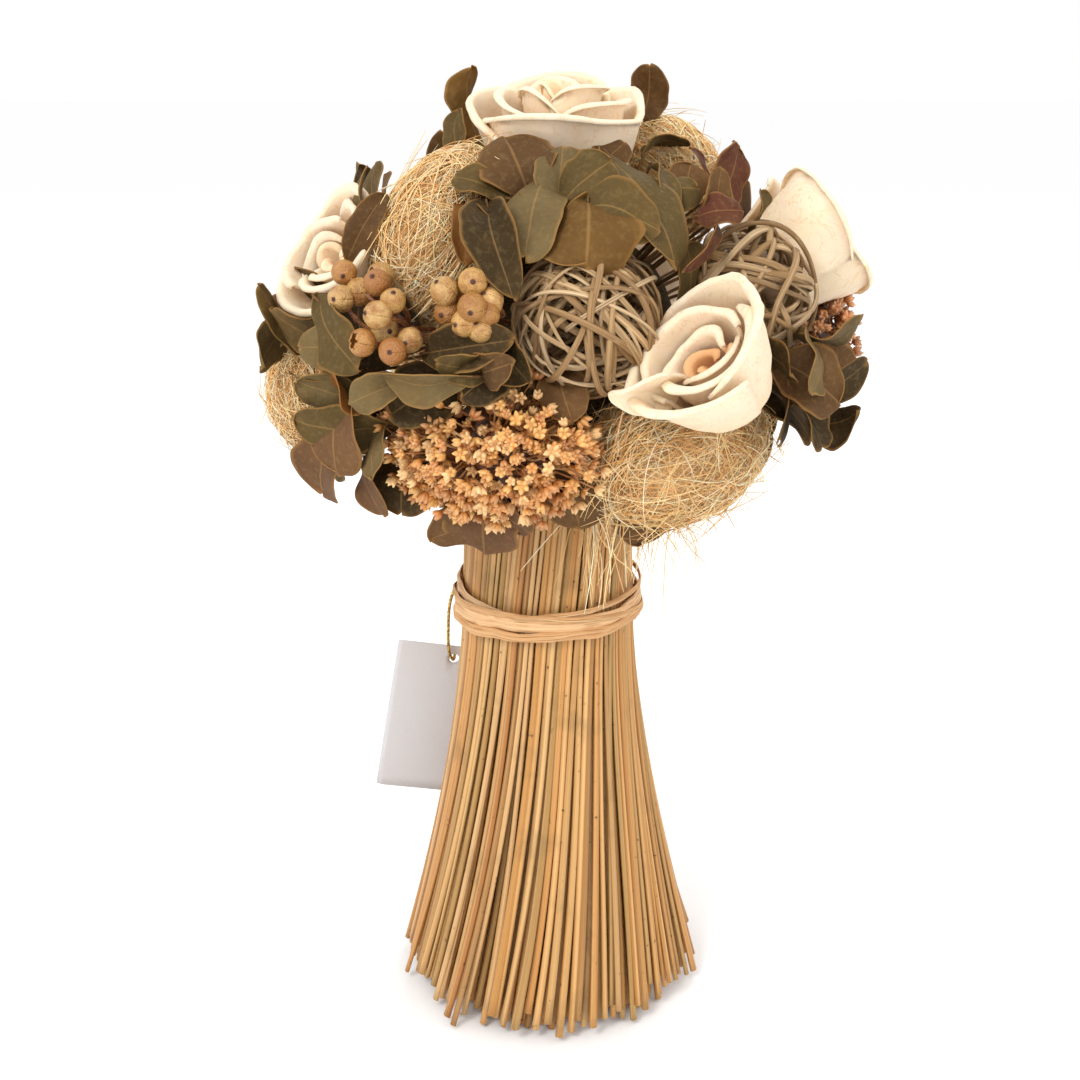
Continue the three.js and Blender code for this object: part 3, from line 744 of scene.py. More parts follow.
def add_straws():
    """Rings of straws from the outside in. Each bundle piece is an eighth of the sheaf."""
    rng = np.random.default_rng(11)
    rho, azimuth = [], []
    spacing, pitch = 2.0, 2.0
    radius = WAIST_RADIUS
    while radius > 1.5:
        count = int(2 * math.pi * radius / spacing)
        start = rng.uniform(0, 2 * math.pi)
        rho.extend(np.clip((radius + rng.normal(0, 0.35, count)) / WAIST_RADIUS, 0.02, 1.0))
        azimuth.extend(start + 2 * math.pi * (np.arange(count) + rng.normal(0, 0.16, count)) / count)
        radius -= pitch
    rho, azimuth = np.array(rho), np.mod(np.array(azimuth), 2 * math.pi)
    paths = straw_paths(rng, rho, azimuth)
    tints = pick_tints(rng, STRAW_TINTS, len(rho), 0.09)
    # Straws further in are darker: painted shade inside the bundle.
    tints *= (1 - 0.45 * np.clip(1 - rho, 0, 0.6))[:, None]
    widths = rng.uniform(0.95, 1.4, len(rho))
    sector = np.floor(np.mod(azimuth + math.pi / 8, 2 * math.pi) / (math.pi / 4)).astype(int)
    inner = rho < 0.8
    sector[inner] = 8
    for number in range(9):
        chosen = sector == number
        count = chosen.sum()
        path = paths[chosen]
        along = unit(path[:, 1] - path[:, 0])
        mouth = np.stack([path[:, 0] + along * 2.6, path[:, 0] + along * 0.25, path[:, 0]], 1)
        whole = np.concatenate([mouth, path], 1)
        below = np.repeat(path[:, :1], 3, 1) - along[:, None] * np.array([4, 3, 2])[None, :, None]
        guide = np.concatenate([below, path], 1)
        out = whole * np.array([1, 1, 0])
        tangent = unit(np.gradient(guide, axis=1))
        across = unit(np.cross(tangent, unit(out)))
        spin = rng.uniform(-0.5, 0.5, (count, 1, 1))
        through = np.cross(across, tangent)
        first = across * np.cos(spin) + through * np.sin(spin)
        frames = (first, -across * np.sin(spin) + through * np.cos(spin))
        bore = np.array([0.45, 0.6, 0.72])[None]
        shares = np.concatenate([np.repeat(bore, count, 0), np.ones((count, path.shape[1]))], 1)
        radius_here = widths[chosen][:, None] * shares
        end_to_end = np.linspace(-1, 1, path.shape[1])[None]
        radius_here[:, 3:] *= 1 + 0.06 * rng.normal(0, 1, (count, 1)) * end_to_end
        radius_here[:, 3:] *= 0.8 + 0.3 * np.clip(1 - path[..., 2] / WAIST_HEIGHT, 0, 1)
        around = np.linspace(0, 2 * math.pi, 9)[None, :-1]
        ridges = 1 + 0.07 * np.cos(3 * around + rng.uniform(0, 6, (count, 1)))
        # The three rings that run into each straw's bore get painted shade, darkest deepest in.
        dark = np.zeros((count, whole.shape[1]))
        dark[:, :3] = (0.9, 0.75, 0.3)
        pile = Pile()
        add_tubes(pile, whole, radius_here, tints[chosen], 8, 0.74, frames, ridges, dark)
        if number < 8:
            finished(pile, f"straws_{number + 1}", "straw", [f"straw_bundle_{number + 1}"], 24)
        else:
            finished(pile, "inner_straws", "straw", ["straw_core"], 24)


# ---------------------------------------------------------------- the raffia tie

# Each strip of raffia: width, height of its middle, sway, azimuth of its highest point, and radius.
STRIPS = {
    "raffia_upper": [
        (5.0, 151.6, 4.2, -150, 31.9),
        (3.6, 149.6, 2.4, 165, 32.3),
        (2.2, 152.4, 3.4, 120, 32.6),
    ],
    "raffia_lower": [(6.6, 145.6, 2.6, 10, 32.9), (4.0, 143.4, 1.4, 70, 33.4), (2.6, 148.0, 2.8, -40, 33.5)],
}


def add_raffia():
    rng = np.random.default_rng(5)
    around, section = 260, 18
    for (name, strips), node in zip(STRIPS.items(), ("raffia_wrap_upper", "raffia_wrap_lower")):
        pile = Pile()
        for number, (width, middle, sway, high, radius) in enumerate(strips):
            phi = np.linspace(-math.pi, math.pi, around)[:, None]
            across = np.linspace(-0.5, 0.5, section)[None]
            seam = np.stack(np.broadcast_arrays(40 * np.cos(phi), 40 * np.sin(phi), across * 12), -1)
            gather = 1 - 0.34 * (0.5 + 0.5 * lumps(seam * np.array([1, 1, 0]), 16, 3 + number))
            wander = 0.5 * lumps(seam * np.array([1, 1, 0]), 11, 40 + number)
            z = middle + wander + sway * np.cos(phi - math.radians(high)) + across * width * gather
            ridge = 0.5 * lumps(seam * np.array([0.16, 0.16, 1]), 1.5, 8 + number)
            ridge = ridge + 0.3 * lumps(seam, 5, 20 + number)
            arch = -0.9 * (2 * across) ** 2 * 0.6
            r = radius + ridge + arch
            surface = np.stack([r * np.sin(phi), -r * np.cos(phi), z], -1)[None]
            tint = pick_tints(rng, ["#ecc290", "#e2b27c", "#f2cd9f"], 1, 0.04)[0]
            # Where a strip sinks inward it gets painted shade.
            mark_and_painted_light = np.clip(-ridge * 1.2 - 0.1, 0, 0.6)[None]
            add_shell(pile, surface, 0.32, tint, mark_and_painted_light)
        finished(pile, name, "raffia", [node], 8)


def add_knot():
    """A small overhand knot at the back, with two tails."""
    low, high = millimetres("raffia_knot")
    middle = np.array([(low[0] + high[0]) / 2, low[1] - 1.0, WAIST_HEIGHT + 2.0])
    t = np.linspace(0, 2 * math.pi, 60)
    turns = []
    for tilt, size in ((0.5, 5.2), (-0.6, 4.8), (1.5, 4.2)):
        x, z = size * np.cos(t), 3.6 * np.sin(t)
        y = 1.8 * np.sin(2 * t + tilt)
        sideways = x * math.cos(tilt) - z * math.sin(tilt)
        turns.append(np.stack([sideways, y + 1.2, x * math.sin(tilt) + z * math.cos(tilt)], -1))
    s = np.linspace(0, 1, 60)
    for side in (-1, 1):
        tail = np.stack([side * (1 + 8 * s), 1.5 + 3.2 * s**2 + 0 * s, -22 * s + 2 * np.sin(5 * s)], -1)
        turns.append(tail)
    paths = np.stack(turns) + middle
    radius = np.full((5, 60), 1.9)
    radius[3:] = 2.1 * (1 - 0.45 * s)[None]
    pile = Pile()
    tints = pick_tints(np.random.default_rng(3), ["#ecc290", "#e2b27c"], 5, 0.05)
    add_tubes(pile, paths, radius, tints, 12, 0.42)
    finished(pile, "raffia_tie_knot", "raffia", ["raffia_knot"], 8)


# ---------------------------------------------------------------- balls of fibre and cane

SISAL_BALLS = [
    ("sisal_ball_front", (33, 24, 22), 1850, 0.45),
    ("sisal_ball_upper_left", (20, 30, 19), 1850, 0.10),
    ("sisal_ball_left", (18, 20, 17), 1300, 0.15),
    ("sisal_ball_top_right", (20, 22, 18), 1500, 0.15),
    ("sisal_ball_back_left", (25, 21, 21), 1300, 0.10),
    ("sisal_ball_back_right", (26, 21, 21), 1300, 0.10),
]
TRAILING_HAIRS = 90
SISAL_TINTS = ["#ffe0a8", "#f8cf8e", "#fff0cc", "#e6ae6a", "#fcd9a0"]


def spun_arcs(rng, count, steps, span, bow):
    """Arcs that wander over a ball of radius 1. A third of them swirl round its outward axis."""
    first = unit(rng.normal(0, 1, (count, 3)))
    swirl = (rng.uniform(0, 1, (count, 1)) < 0.36) * 1.0
    first = unit(first * np.array([1, 1, 0.35]) * swirl + first * (1 - swirl))
    pole = np.array([0, 0, 1.0]) + rng.normal(0, 0.28, (count, 3))
    pole = unit(pole * swirl + unit(rng.normal(0, 1, (count, 3))) * (1 - swirl))
    second = unit(np.cross(pole, first))
    lift = np.cross(first, second)
    t = np.linspace(-0.5, 0.5, steps)[None, :, None]
    turn = t * rng.uniform(*span, (count, 1, 1))
    tilt = rng.uniform(-bow, bow, (count, 1, 1))
    arc = first[:, None] * np.cos(turn) + second[:, None] * np.sin(turn) + lift[:, None] * tilt * (2 * t) ** 2
    return unit(arc)


def trailing_hairs(rng, count, steps):
    """Hairs that hang from the front ball over the neck of the sheaf."""
    azimuth = np.radians(rng.uniform(12, 62, count))
    start = np.stack([np.sin(azimuth), -np.cos(azimuth)], 1) * rng.uniform(36, 56, (count, 1))
    drop = rng.uniform(10, 34, (count, 1))
    t = np.linspace(0, 1, steps)[None]
    lean = rng.normal(0, 7, (count, 2))
    swing = rng.uniform(0.5, 2.5, (count, 1))
    pace = rng.uniform(2, 6, (count, 1))
    wave = swing * np.sin(t * pace + rng.uniform(0, 6, (count, 1)))
    x = start[:, :1] + lean[:, :1] * t + wave
    y = start[:, 1:] + lean[:, 1:] * t**2 - 2 * t
    z = HEAD[2] - rng.uniform(38, 52, (count, 1)) - drop * t**1.3 + wave
    return np.stack([x, y, z], -1)


def add_sisal():
    for number, (node, radii, count, wild) in enumerate(SISAL_BALLS):
        rng = np.random.default_rng(100 + number)
        middle, axes = egg_place(node, radii)
        steps = 18
        arcs = spun_arcs(rng, count, steps, (0.6, 2.6), 0.5)
        depth = 1.03 - 0.24 * rng.uniform(0, 1, (count, 1)) ** 1.4
        t = np.linspace(-1, 1, steps)[None]
        stray = (rng.uniform(0, 1, (count, 1)) < wild) * rng.uniform(0.08, 0.42, (count, 1))
        rise = depth + stray * np.clip(t * rng.choice([-1, 1], (count, 1)), 0, 1) ** 2
        rise = rise + 0.03 * np.sin(t * rng.uniform(3, 9, (count, 1)) + rng.uniform(0, 6, (count, 1)))
        local = arcs * rise[..., None] * np.array(radii)
        paths = middle + local @ axes
        thin = rng.uniform(0.11, 0.21, (count, 1)) * (1 - 0.5 * np.abs(t) ** 6)
        pile = Pile()
        if node == "sisal_ball_front":
            paths[:TRAILING_HAIRS] = trailing_hairs(rng, TRAILING_HAIRS, steps)
        add_tubes(pile, paths, thin, pick_tints(rng, SISAL_TINTS, count, 0.1), 3)
        finished(pile, f"fibre_{node[6:]}", "sisal", [node], 30)
        core = Pile()
        rings, sides = 24, 36
        down = np.linspace(0.02, math.pi - 0.02, rings)
        v, a = np.meshgrid(down, np.linspace(0, 2 * math.pi, sides), indexing="ij")
        ball = np.stack([np.sin(v) * np.cos(a), np.sin(v) * np.sin(a), np.cos(v)], -1)
        ball = ball * (0.78 + 0.05 * lumps(ball, 0.22, number))[..., None] * np.array(radii)
        add_shell(core, (middle + ball @ axes)[None], 1.0, colour("#f6cf92"), 0.0)
        finished(core, f"fibre_heart_{node[11:]}", "sisal")


RATTAN_BALLS = [
    ("rattan_ball_front", 24.0, 62, (0.55, 1.1), ["#c9a87c", "#b99668", "#d8bb92", "#a07d54"]),
    ("rattan_ball_right", 22.4, 34, (0.7, 1.3), ["#cbab80", "#b5946a", "#d8ba90", "#9c7a50"]),
    ("rattan_ball_back", 22.0, 44, (0.7, 1.3), ["#c0a075", "#b08c60", "#98764e"]),
]


def add_rattan():
    """Canes wound round and round on a ball, flat against it, often two or three side by side."""
    for number, (node, radius, count, widths, codes) in enumerate(RATTAN_BALLS):
        rng = np.random.default_rng(200 + number)
        middle, _ = egg_place(node, (radius, radius, radius))
        steps = 90
        t = np.linspace(0, 1, steps)[None]
        pole = unit(rng.normal(0, 1, (count, 3)))
        for i in range(1, count):
            if rng.uniform() < 0.45:
                pole[i] = unit(pole[i - 1] + rng.normal(0, 0.07, 3))
        drift = unit(rng.normal(0, 1, (count, 3)))
        first = unit(np.cross(pole, drift))
        second = np.cross(pole, first)
        turn = 2 * math.pi * t * rng.uniform(0.7, 1.15, (count, 1)) + rng.uniform(0, 6, (count, 1))
        off = rng.uniform(-0.6, 0.6, (count, 1)) + 0.16 * np.sin(turn + rng.uniform(0, 6, (count, 1)))
        ring = first[:, None] * np.cos(turn)[..., None] + second[:, None] * np.sin(turn)[..., None]
        out = unit(ring + pole[:, None] * off[..., None])
        weave = 0.9 * np.sin(turn * rng.integers(3, 6, (count, 1)) + rng.uniform(0, 6, (count, 1)))
        end_dip = 4.0 * (np.clip(0.06 - t, 0, 1) + np.clip(t - 0.94, 0, 1)) / 0.06
        layer = rng.uniform(0, 1, (count, 1)) ** 1.3 * 5.5
        reach = radius - 1.4 - layer + weave - end_dip
        paths = middle + out * reach[..., None]
        along = unit(np.gradient(paths, axis=1))
        across = unit(np.cross(along, out))
        size = rng.uniform(*widths, (count, 1)) * (1 + 0.1 * np.sin(turn * 2 + rng.uniform(0, 6, (count, 1))))
        ridges = 1 + 0.08 * rng.normal(0, 1, (count, 10))
        pile = Pile()
        frames = (across, np.cross(across, along))
        add_tubes(pile, paths, size, pick_tints(rng, codes, count, 0.12), 10, 0.62, frames, ridges)
        finished(pile, f"cane_{node[7:]}", "rattan", [node], 24)


# ---------------------------------------------------------------- roses

# face is where the flower looks, as [azimuth, elevation]. long stretches it across, at an angle in degrees.
ROSES = [
    ("rose_top", [0, 84, 64.5], [-10, 75], 47, 42, 1.12, 0, 215, 3, 0.34),
    ("rose_front", [31.5, 1.5, 84], [-44, 40], 37, 32, 1.1, 60, 90, 2, 0.0),
    ("rose_right", [85, 21, 80], [104, 36], 39, 34, 1.08, 80, 100, 3, 0.05),
    ("rose_left", [-69, 21, 76], [-44, 32], 35, 30, 1.1, 75, 95, 3, 0.12),
    ("rose_back", [158, 12, 72], [158, 14], 45, 34, 1.05, 20, 60, 3, 0.1),
]

# Rings of petals: foot and rim radius as shares of the width, rim height, overlap and curl in degrees.
HEART = [(0.03, 0.10, 0.16, 1.12, 130)]
INNER = [(0.08, 0.225, 0.26, 1.12, 150)]
OUTER = [(0.12, 0.36, 0.37, 1.15, 165), (0.18, 0.50, 0.41, 1.2, 190)]


def petal(rng, width, tall, centre, foot, rim, high, span, curl):
    """The middle surface of one petal, with its rolled rim: (rows, columns, 3), thickness and depth."""
    body, roll, columns = 16, 9, 34
    u = np.linspace(-1, 1, columns)[None]
    v = np.linspace(0, 1, body)[:, None]
    phi = math.radians(centre) + math.radians(span / 2) * u
    side_drop = 1 - 0.12 * np.abs(u) ** 3 * rng.uniform(0.6, 1.6)
    wave = 1 + 0.05 * np.sin(u * rng.uniform(2, 4) + rng.uniform(0, 6))
    low = -0.5 * tall
    top = low + (high + 0.5) * tall * side_drop * wave * rng.uniform(0.93, 1.05)
    belly = width * (foot + (rim - foot) * v**0.46)
    corner = 0.05 * np.cos(3 * u + rng.uniform(-1, 1)) * v
    belly = belly * (1 + corner) + 2.2 * u * v * rng.uniform(0.6, 1.3)
    height = low + (top - low) * v
    ends = np.clip(1 - (1 - np.abs(u)) * 5, 0, 1)
    tightness = 0.85 * (1 - 0.5 * ends) * (1 + 0.25 * np.sin(5 * u + rng.uniform(0, 6)))
    arc = np.radians(curl) * np.linspace(0, 1, roll + 1)[1:, None]
    rolled_out = tightness * ((1 - np.cos(arc)) + 0.4 * np.sin(arc))
    rolled_up = tightness * np.sin(arc)
    radial = np.concatenate([belly, belly[-1:] + rolled_out])
    up = np.concatenate([height, height[-1:] + rolled_up])
    angle = np.broadcast_to(phi, radial.shape)
    raised = np.broadcast_to(up, radial.shape)
    surface = np.stack([radial * np.cos(angle), radial * np.sin(angle), raised], -1)
    broad = lumps(surface, 9, int(rng.integers(1000))) * 1.1
    swell = broad + lumps(surface, 3.2, int(rng.integers(1000))) * 0.34
    surface = surface + swell[..., None] * np.stack([np.cos(angle), np.sin(angle), 0.5 + 0 * angle], -1)
    thick = np.full(radial.shape, 1.15)
    thick[-roll:] = np.linspace(1.15, 0.95, roll)[:, None]
    # depth is 1 at a petal's foot and 0 at its rim; it sets the painted shade deep in the rose.
    depth = np.zeros(radial.shape)
    depth[:body] = (1 - v) ** 1.5
    return surface, thick, depth


def add_rose_part(name, node, rings, rose, rng, depth_shade):
    _, place, face, width, tall, long, turn, start, count, dome = rose
    axes = axes_of(direction(*face))
    c, s = math.cos(math.radians(turn)), math.sin(math.radians(turn))
    twist = np.array([[c, s, 0], [-s, c, 0], [0, 0, 1]])
    stretch = np.diag([long, 1 / long, 1.0])
    pile = Pile()
    for number, (foot, rim, high, overlap, curl) in enumerate(rings):
        high = high + dome * (0.9 - 2.6 * rim)
        for i in range(count):
            centre = start + 360 * i / count + 180 / count * number + rng.uniform(-9, 9)
            share = 360 / count * overlap
            surface, thick, depth = petal(rng, width, tall, centre, foot, rim, high, share, curl)
            placed = head_point(place) + surface @ stretch @ twist @ axes
            # The buds are darker and more orange than the outer petals: partly the roses' own colour, partly
            # painted shade in each rose's hollow.
            shade = {"rose_front_bud": "#e5b07c"}.get(name, "#f0d4b0" if "bud" in name else "#f5dfc4")
            tint = colour(shade) * (1 + rng.normal(0, 0.02))
            add_shell(pile, placed[None], thick[None], tint, (depth * depth_shade)[None])
    if name == "rose_front_outside_petals":
        loose, _ = leaf_surface(rng, head_point([9, -1, 85]), head_point([27, 1, 80]), 14, 25, 0.5)
        add_shell(pile, loose[None], 1.1, colour("#f5dfc4"), 0.0)
    finished(pile, name, "rose_petal", [node])


def add_roses():
    for number, rose in enumerate(ROSES):
        rng = np.random.default_rng(300 + number)
        name = rose[0]
        # The last number sets how strong the painted shade deep in each ring is: strongest in the bud.
        add_rose_part(f"{name}_bud", f"{name}_heart", HEART, rose, rng, 1.0)
        add_rose_part(f"{name}_middle_petals", f"{name}_inner_petals", INNER, rose, rng, 0.7)
        add_rose_part(f"{name}_outside_petals", f"{name}_outer_petals", OUTER, rose, rng, 0.35)


# ---------------------------------------------------------------- berries

# Each cluster is the place where its main stalk branches, and the places of its berries.
BERRIES = {
    "berry_cluster_left": (
        [-40, 10, 72],
        [
            [-51, 19, 88], [-40, 18, 88], [-35, 15, 88], [-47, 16, 85], [-48, 14, 90], [-36, 12, 92],
            [-32, 6, 92], [-32, 8, 84], [-40, 9, 82], [-44, 20, 82], [-38, 7, 94],
        ],
    ),
    "berry_cluster_middle": (
        [-21, 15, 68],
        [
            [-19, 20, 84], [-25, 18, 84], [-18, 15, 86], [-16, 17, 80], [-16, 14, 82], [-25, 14, 80],
            [-20, 12, 84], [-17, 11, 82], [-26, 17, 76],
        ],
    ),
    "berry_cluster_back": (
        [-118, 12, 70],
        [
            [-112, 18, 88], [-120, 20, 89], [-126, 16, 88], [-116, 13, 91], [-123, 10, 89], [-112, 8, 88],
            [-118, 5, 86], [-127, 6, 85],
        ],
    ),
}
BERRY_RADIUS = 3.85


def ball_mesh(rings, sides):
    v, a = np.meshgrid(np.linspace(0.001, math.pi, rings), np.linspace(0, 2 * math.pi, sides), indexing="ij")
    return v, a, np.stack([np.sin(v) * np.cos(a), np.sin(v) * np.sin(a), np.cos(v)], -1)


def add_berry(pile, rng, place, outward, broken):
    """A dimpled berry with a dark crown. A broken one is a thin shell with a jagged mouth."""
    rings, sides = 30, 41
    if broken:
        v, a = np.meshgrid(np.linspace(0, 1, rings), np.linspace(0, 2 * math.pi, sides), indexing="ij")
        jag = 0.75 + 0.10 * np.sin(7 * a + 1) + 0.07 * np.sin(13 * a)
        v = jag + (math.pi - jag) * v
        ball = np.stack([np.sin(v) * np.cos(a), np.sin(v) * np.sin(a), np.cos(v)], -1)
        crown = np.zeros_like(v)
    else:
        v, a, ball = ball_mesh(rings, sides)
        crown = np.clip(1 - v / 0.22, 0, 1)
    radius = BERRY_RADIUS * rng.uniform(0.9, 1.06)
    broad = 0.025 * lumps(ball, 0.32, int(rng.integers(999)))
    bumps = 1 + broad + 0.012 * lumps(ball, 0.13, int(rng.integers(999)))
    lift = 1 + 0.10 * crown * (1 + 0.6 * np.cos(5 * a))
    axes = axes_of(outward + rng.normal(0, 0.45, 3))
    placed = place + (ball * (bumps * lift)[..., None] * radius) @ axes
    tint = pick_tints(rng, ["#c79a58", "#b98443", "#cfa566", "#a86f34"], 1, 0.08)[0]
    dark = np.clip(crown * 2.2, 0, 1)
    add_shell(pile, placed[None], 0.5, tint, dark[None])

OPEN_BERRY = [-38, 7, 94]
STALK_TINTS = ["#6e3a22", "#7f4a2c", "#8a5838"]


def add_berries():
    for number, (node, (foot, places)) in enumerate(BERRIES.items()):
        rng = np.random.default_rng(400 + number)
        pile = Pile()
        root = head_point(foot)
        for place in places:
            point = head_point(place)
            outward = unit(point - HEAD) + np.array([0, -0.3, 0.1])
            add_berry(pile, rng, point, outward, place == OPEN_BERRY)
        finished(pile, f"berries_{node[14:]}", "berry", [node])
        stalks = Pile()
        steps = 26
        t = np.linspace(0, 1, steps)[:, None]
        paths = []
        for place in places:
            end = head_point(place)
            bend = rng.normal(0, 2.2, 3)
            paths.append(root + (end - root) * t + bend * np.sin(math.pi * t))
        hub = head_point([foot[0], foot[1], 40])
        paths.append(hub + (root - hub) * t)
        paths = np.stack(paths)
        knobs = 0.62 + 0.5 * np.clip(lumps(paths, 1.9, number), 0, 1)
        add_tubes(stalks, paths, knobs, pick_tints(rng, STALK_TINTS, len(paths), 0.1), 7)
        finished(stalks, f"berry_stalks_{node[14:]}", "berry", (), 16)


# ---------------------------------------------------------------- seed heads

SEED_HEADS = [
    ("seed_head_front", (34, 23, 19), 690, ["#e69b44", "#d08431", "#f0b25a", "#ba6a28", "#f6ca8c"]),
    ("seed_head_right", (12, 21, 14), 230, ["#c2703e", "#ad5a30", "#d08650", "#96482a"]),
    ("seed_head_back", (30, 21, 17), 520, ["#e69b44", "#d08431", "#f0b25a", "#ba6a28"]),
]


def add_seed_heads():
    """Each floret is a ring of pointed seeds round a bud, on a thin stalk. A dark ball inside is painted
    shade between the florets.
    """
    for number, (node, radii, count, codes) in enumerate(SEED_HEADS):
        rng = np.random.default_rng(500 + number)
        middle, axes = egg_place(node, radii)
        out = unit(rng.normal(0, 1, (count, 3)) + np.array([0, 0, 0.35]))
        depth = 1.03 - 0.42 * rng.uniform(0, 1, (count, 1)) ** 1.6 + 0.05 * rng.normal(0, 1, (count, 1))
        centres = middle + (out * depth * np.array(radii)) @ axes
        facing = unit(unit(out / np.array(radii)) @ axes + rng.normal(0, 0.42, (count, 3)))
        petals = 5
        spin = rng.uniform(0, 6, (count, 1)) + 2 * math.pi * np.arange(petals)[None] / petals
        right = unit(np.cross(facing, unit(rng.normal(0, 1, (count, 3)))))
        upward = np.cross(facing, right)
        around = right[:, None] * np.cos(spin)[..., None] + upward[:, None] * np.sin(spin)[..., None]
        open_by = rng.uniform(0.3, 0.85, (count, 1, 1))
        axis = unit(facing[:, None] * np.cos(open_by) + around * np.sin(open_by)).reshape(-1, 3)
        size = np.repeat(rng.uniform(0.85, 1.3, count), petals)
        seat = np.repeat(centres, petals, axis=0)
        side = unit(np.cross(axis, unit(np.repeat(facing, petals, axis=0) + 1e-3)))
        frames = np.stack([side, np.cross(axis, side), axis], 1)
        lengths = 3.1 * size
        pile = Pile()
        tints = np.repeat(pick_tints(rng, codes, count, 0.1), petals, axis=0)
        tints = tints * np.random.default_rng(number).uniform(0.82, 1.15, (len(tints), 1))
        middles = seat + axis * (lengths * 0.5)[:, None]
        add_beads(pile, middles, frames, lengths, 2.05 * size, tints, 5, 4, 0.34)
        bud_frames = np.stack([right, upward, facing], 1)
        bud_tints = pick_tints(rng, codes, count, 0.15)
        add_beads(pile, centres + facing, bud_frames, 2.2, 1.9, bud_tints, 6, 4)
        finished(pile, f"seeds_{node[10:]}", "seed_head", [node], 2)
        steps = 8
        t = np.linspace(0, 1, steps)[None, :, None]
        chosen = rng.choice(count, count // 2, replace=False)
        start = middle + (out[chosen] * 0.35 * np.array(radii)) @ axes
        paths = start[:, None] * (1 - t) + centres[chosen][:, None] * t
        paths = paths + rng.normal(0, 1.6, (len(chosen), 1, 3)) * np.sin(math.pi * t)
        stalks = Pile()
        add_tubes(stalks, paths, 0.3, pick_tints(rng, ["#d8b27c", "#c99a60", "#a8743e"], len(chosen), 0.1), 5)
        # A dark ball inside the head: painted shade in the gaps between the florets.
        rings, sides = 22, 34
        _, _, ball = ball_mesh(rings, sides)
        ball = ball * (0.55 + 0.06 * lumps(ball, 0.2, number))[..., None] * np.array(radii)
        add_shell(stalks, (middle + ball @ axes)[None], 1.0, colour("#3a1e0e"), 0.0)
        finished(stalks, f"seed_stalks_and_shade_ball_{node[10:]}", "seed_head", (), 6)


# ---------------------------------------------------------------- leaves

# dark is partly the leaves' own dark brown and partly painted shade: it goes mostly on leaves set deep under
# the others.
LEAF_TINTS = {
    "grey": "#6c5a38",
    "olive": "#594724",
    "gold": "#6b4b20",
    "brown": "#5e4124",
    "orange": "#82501f",
    "dark": "#3c2d16",
    "purple": "#69492f",
    "red": "#603122",
}

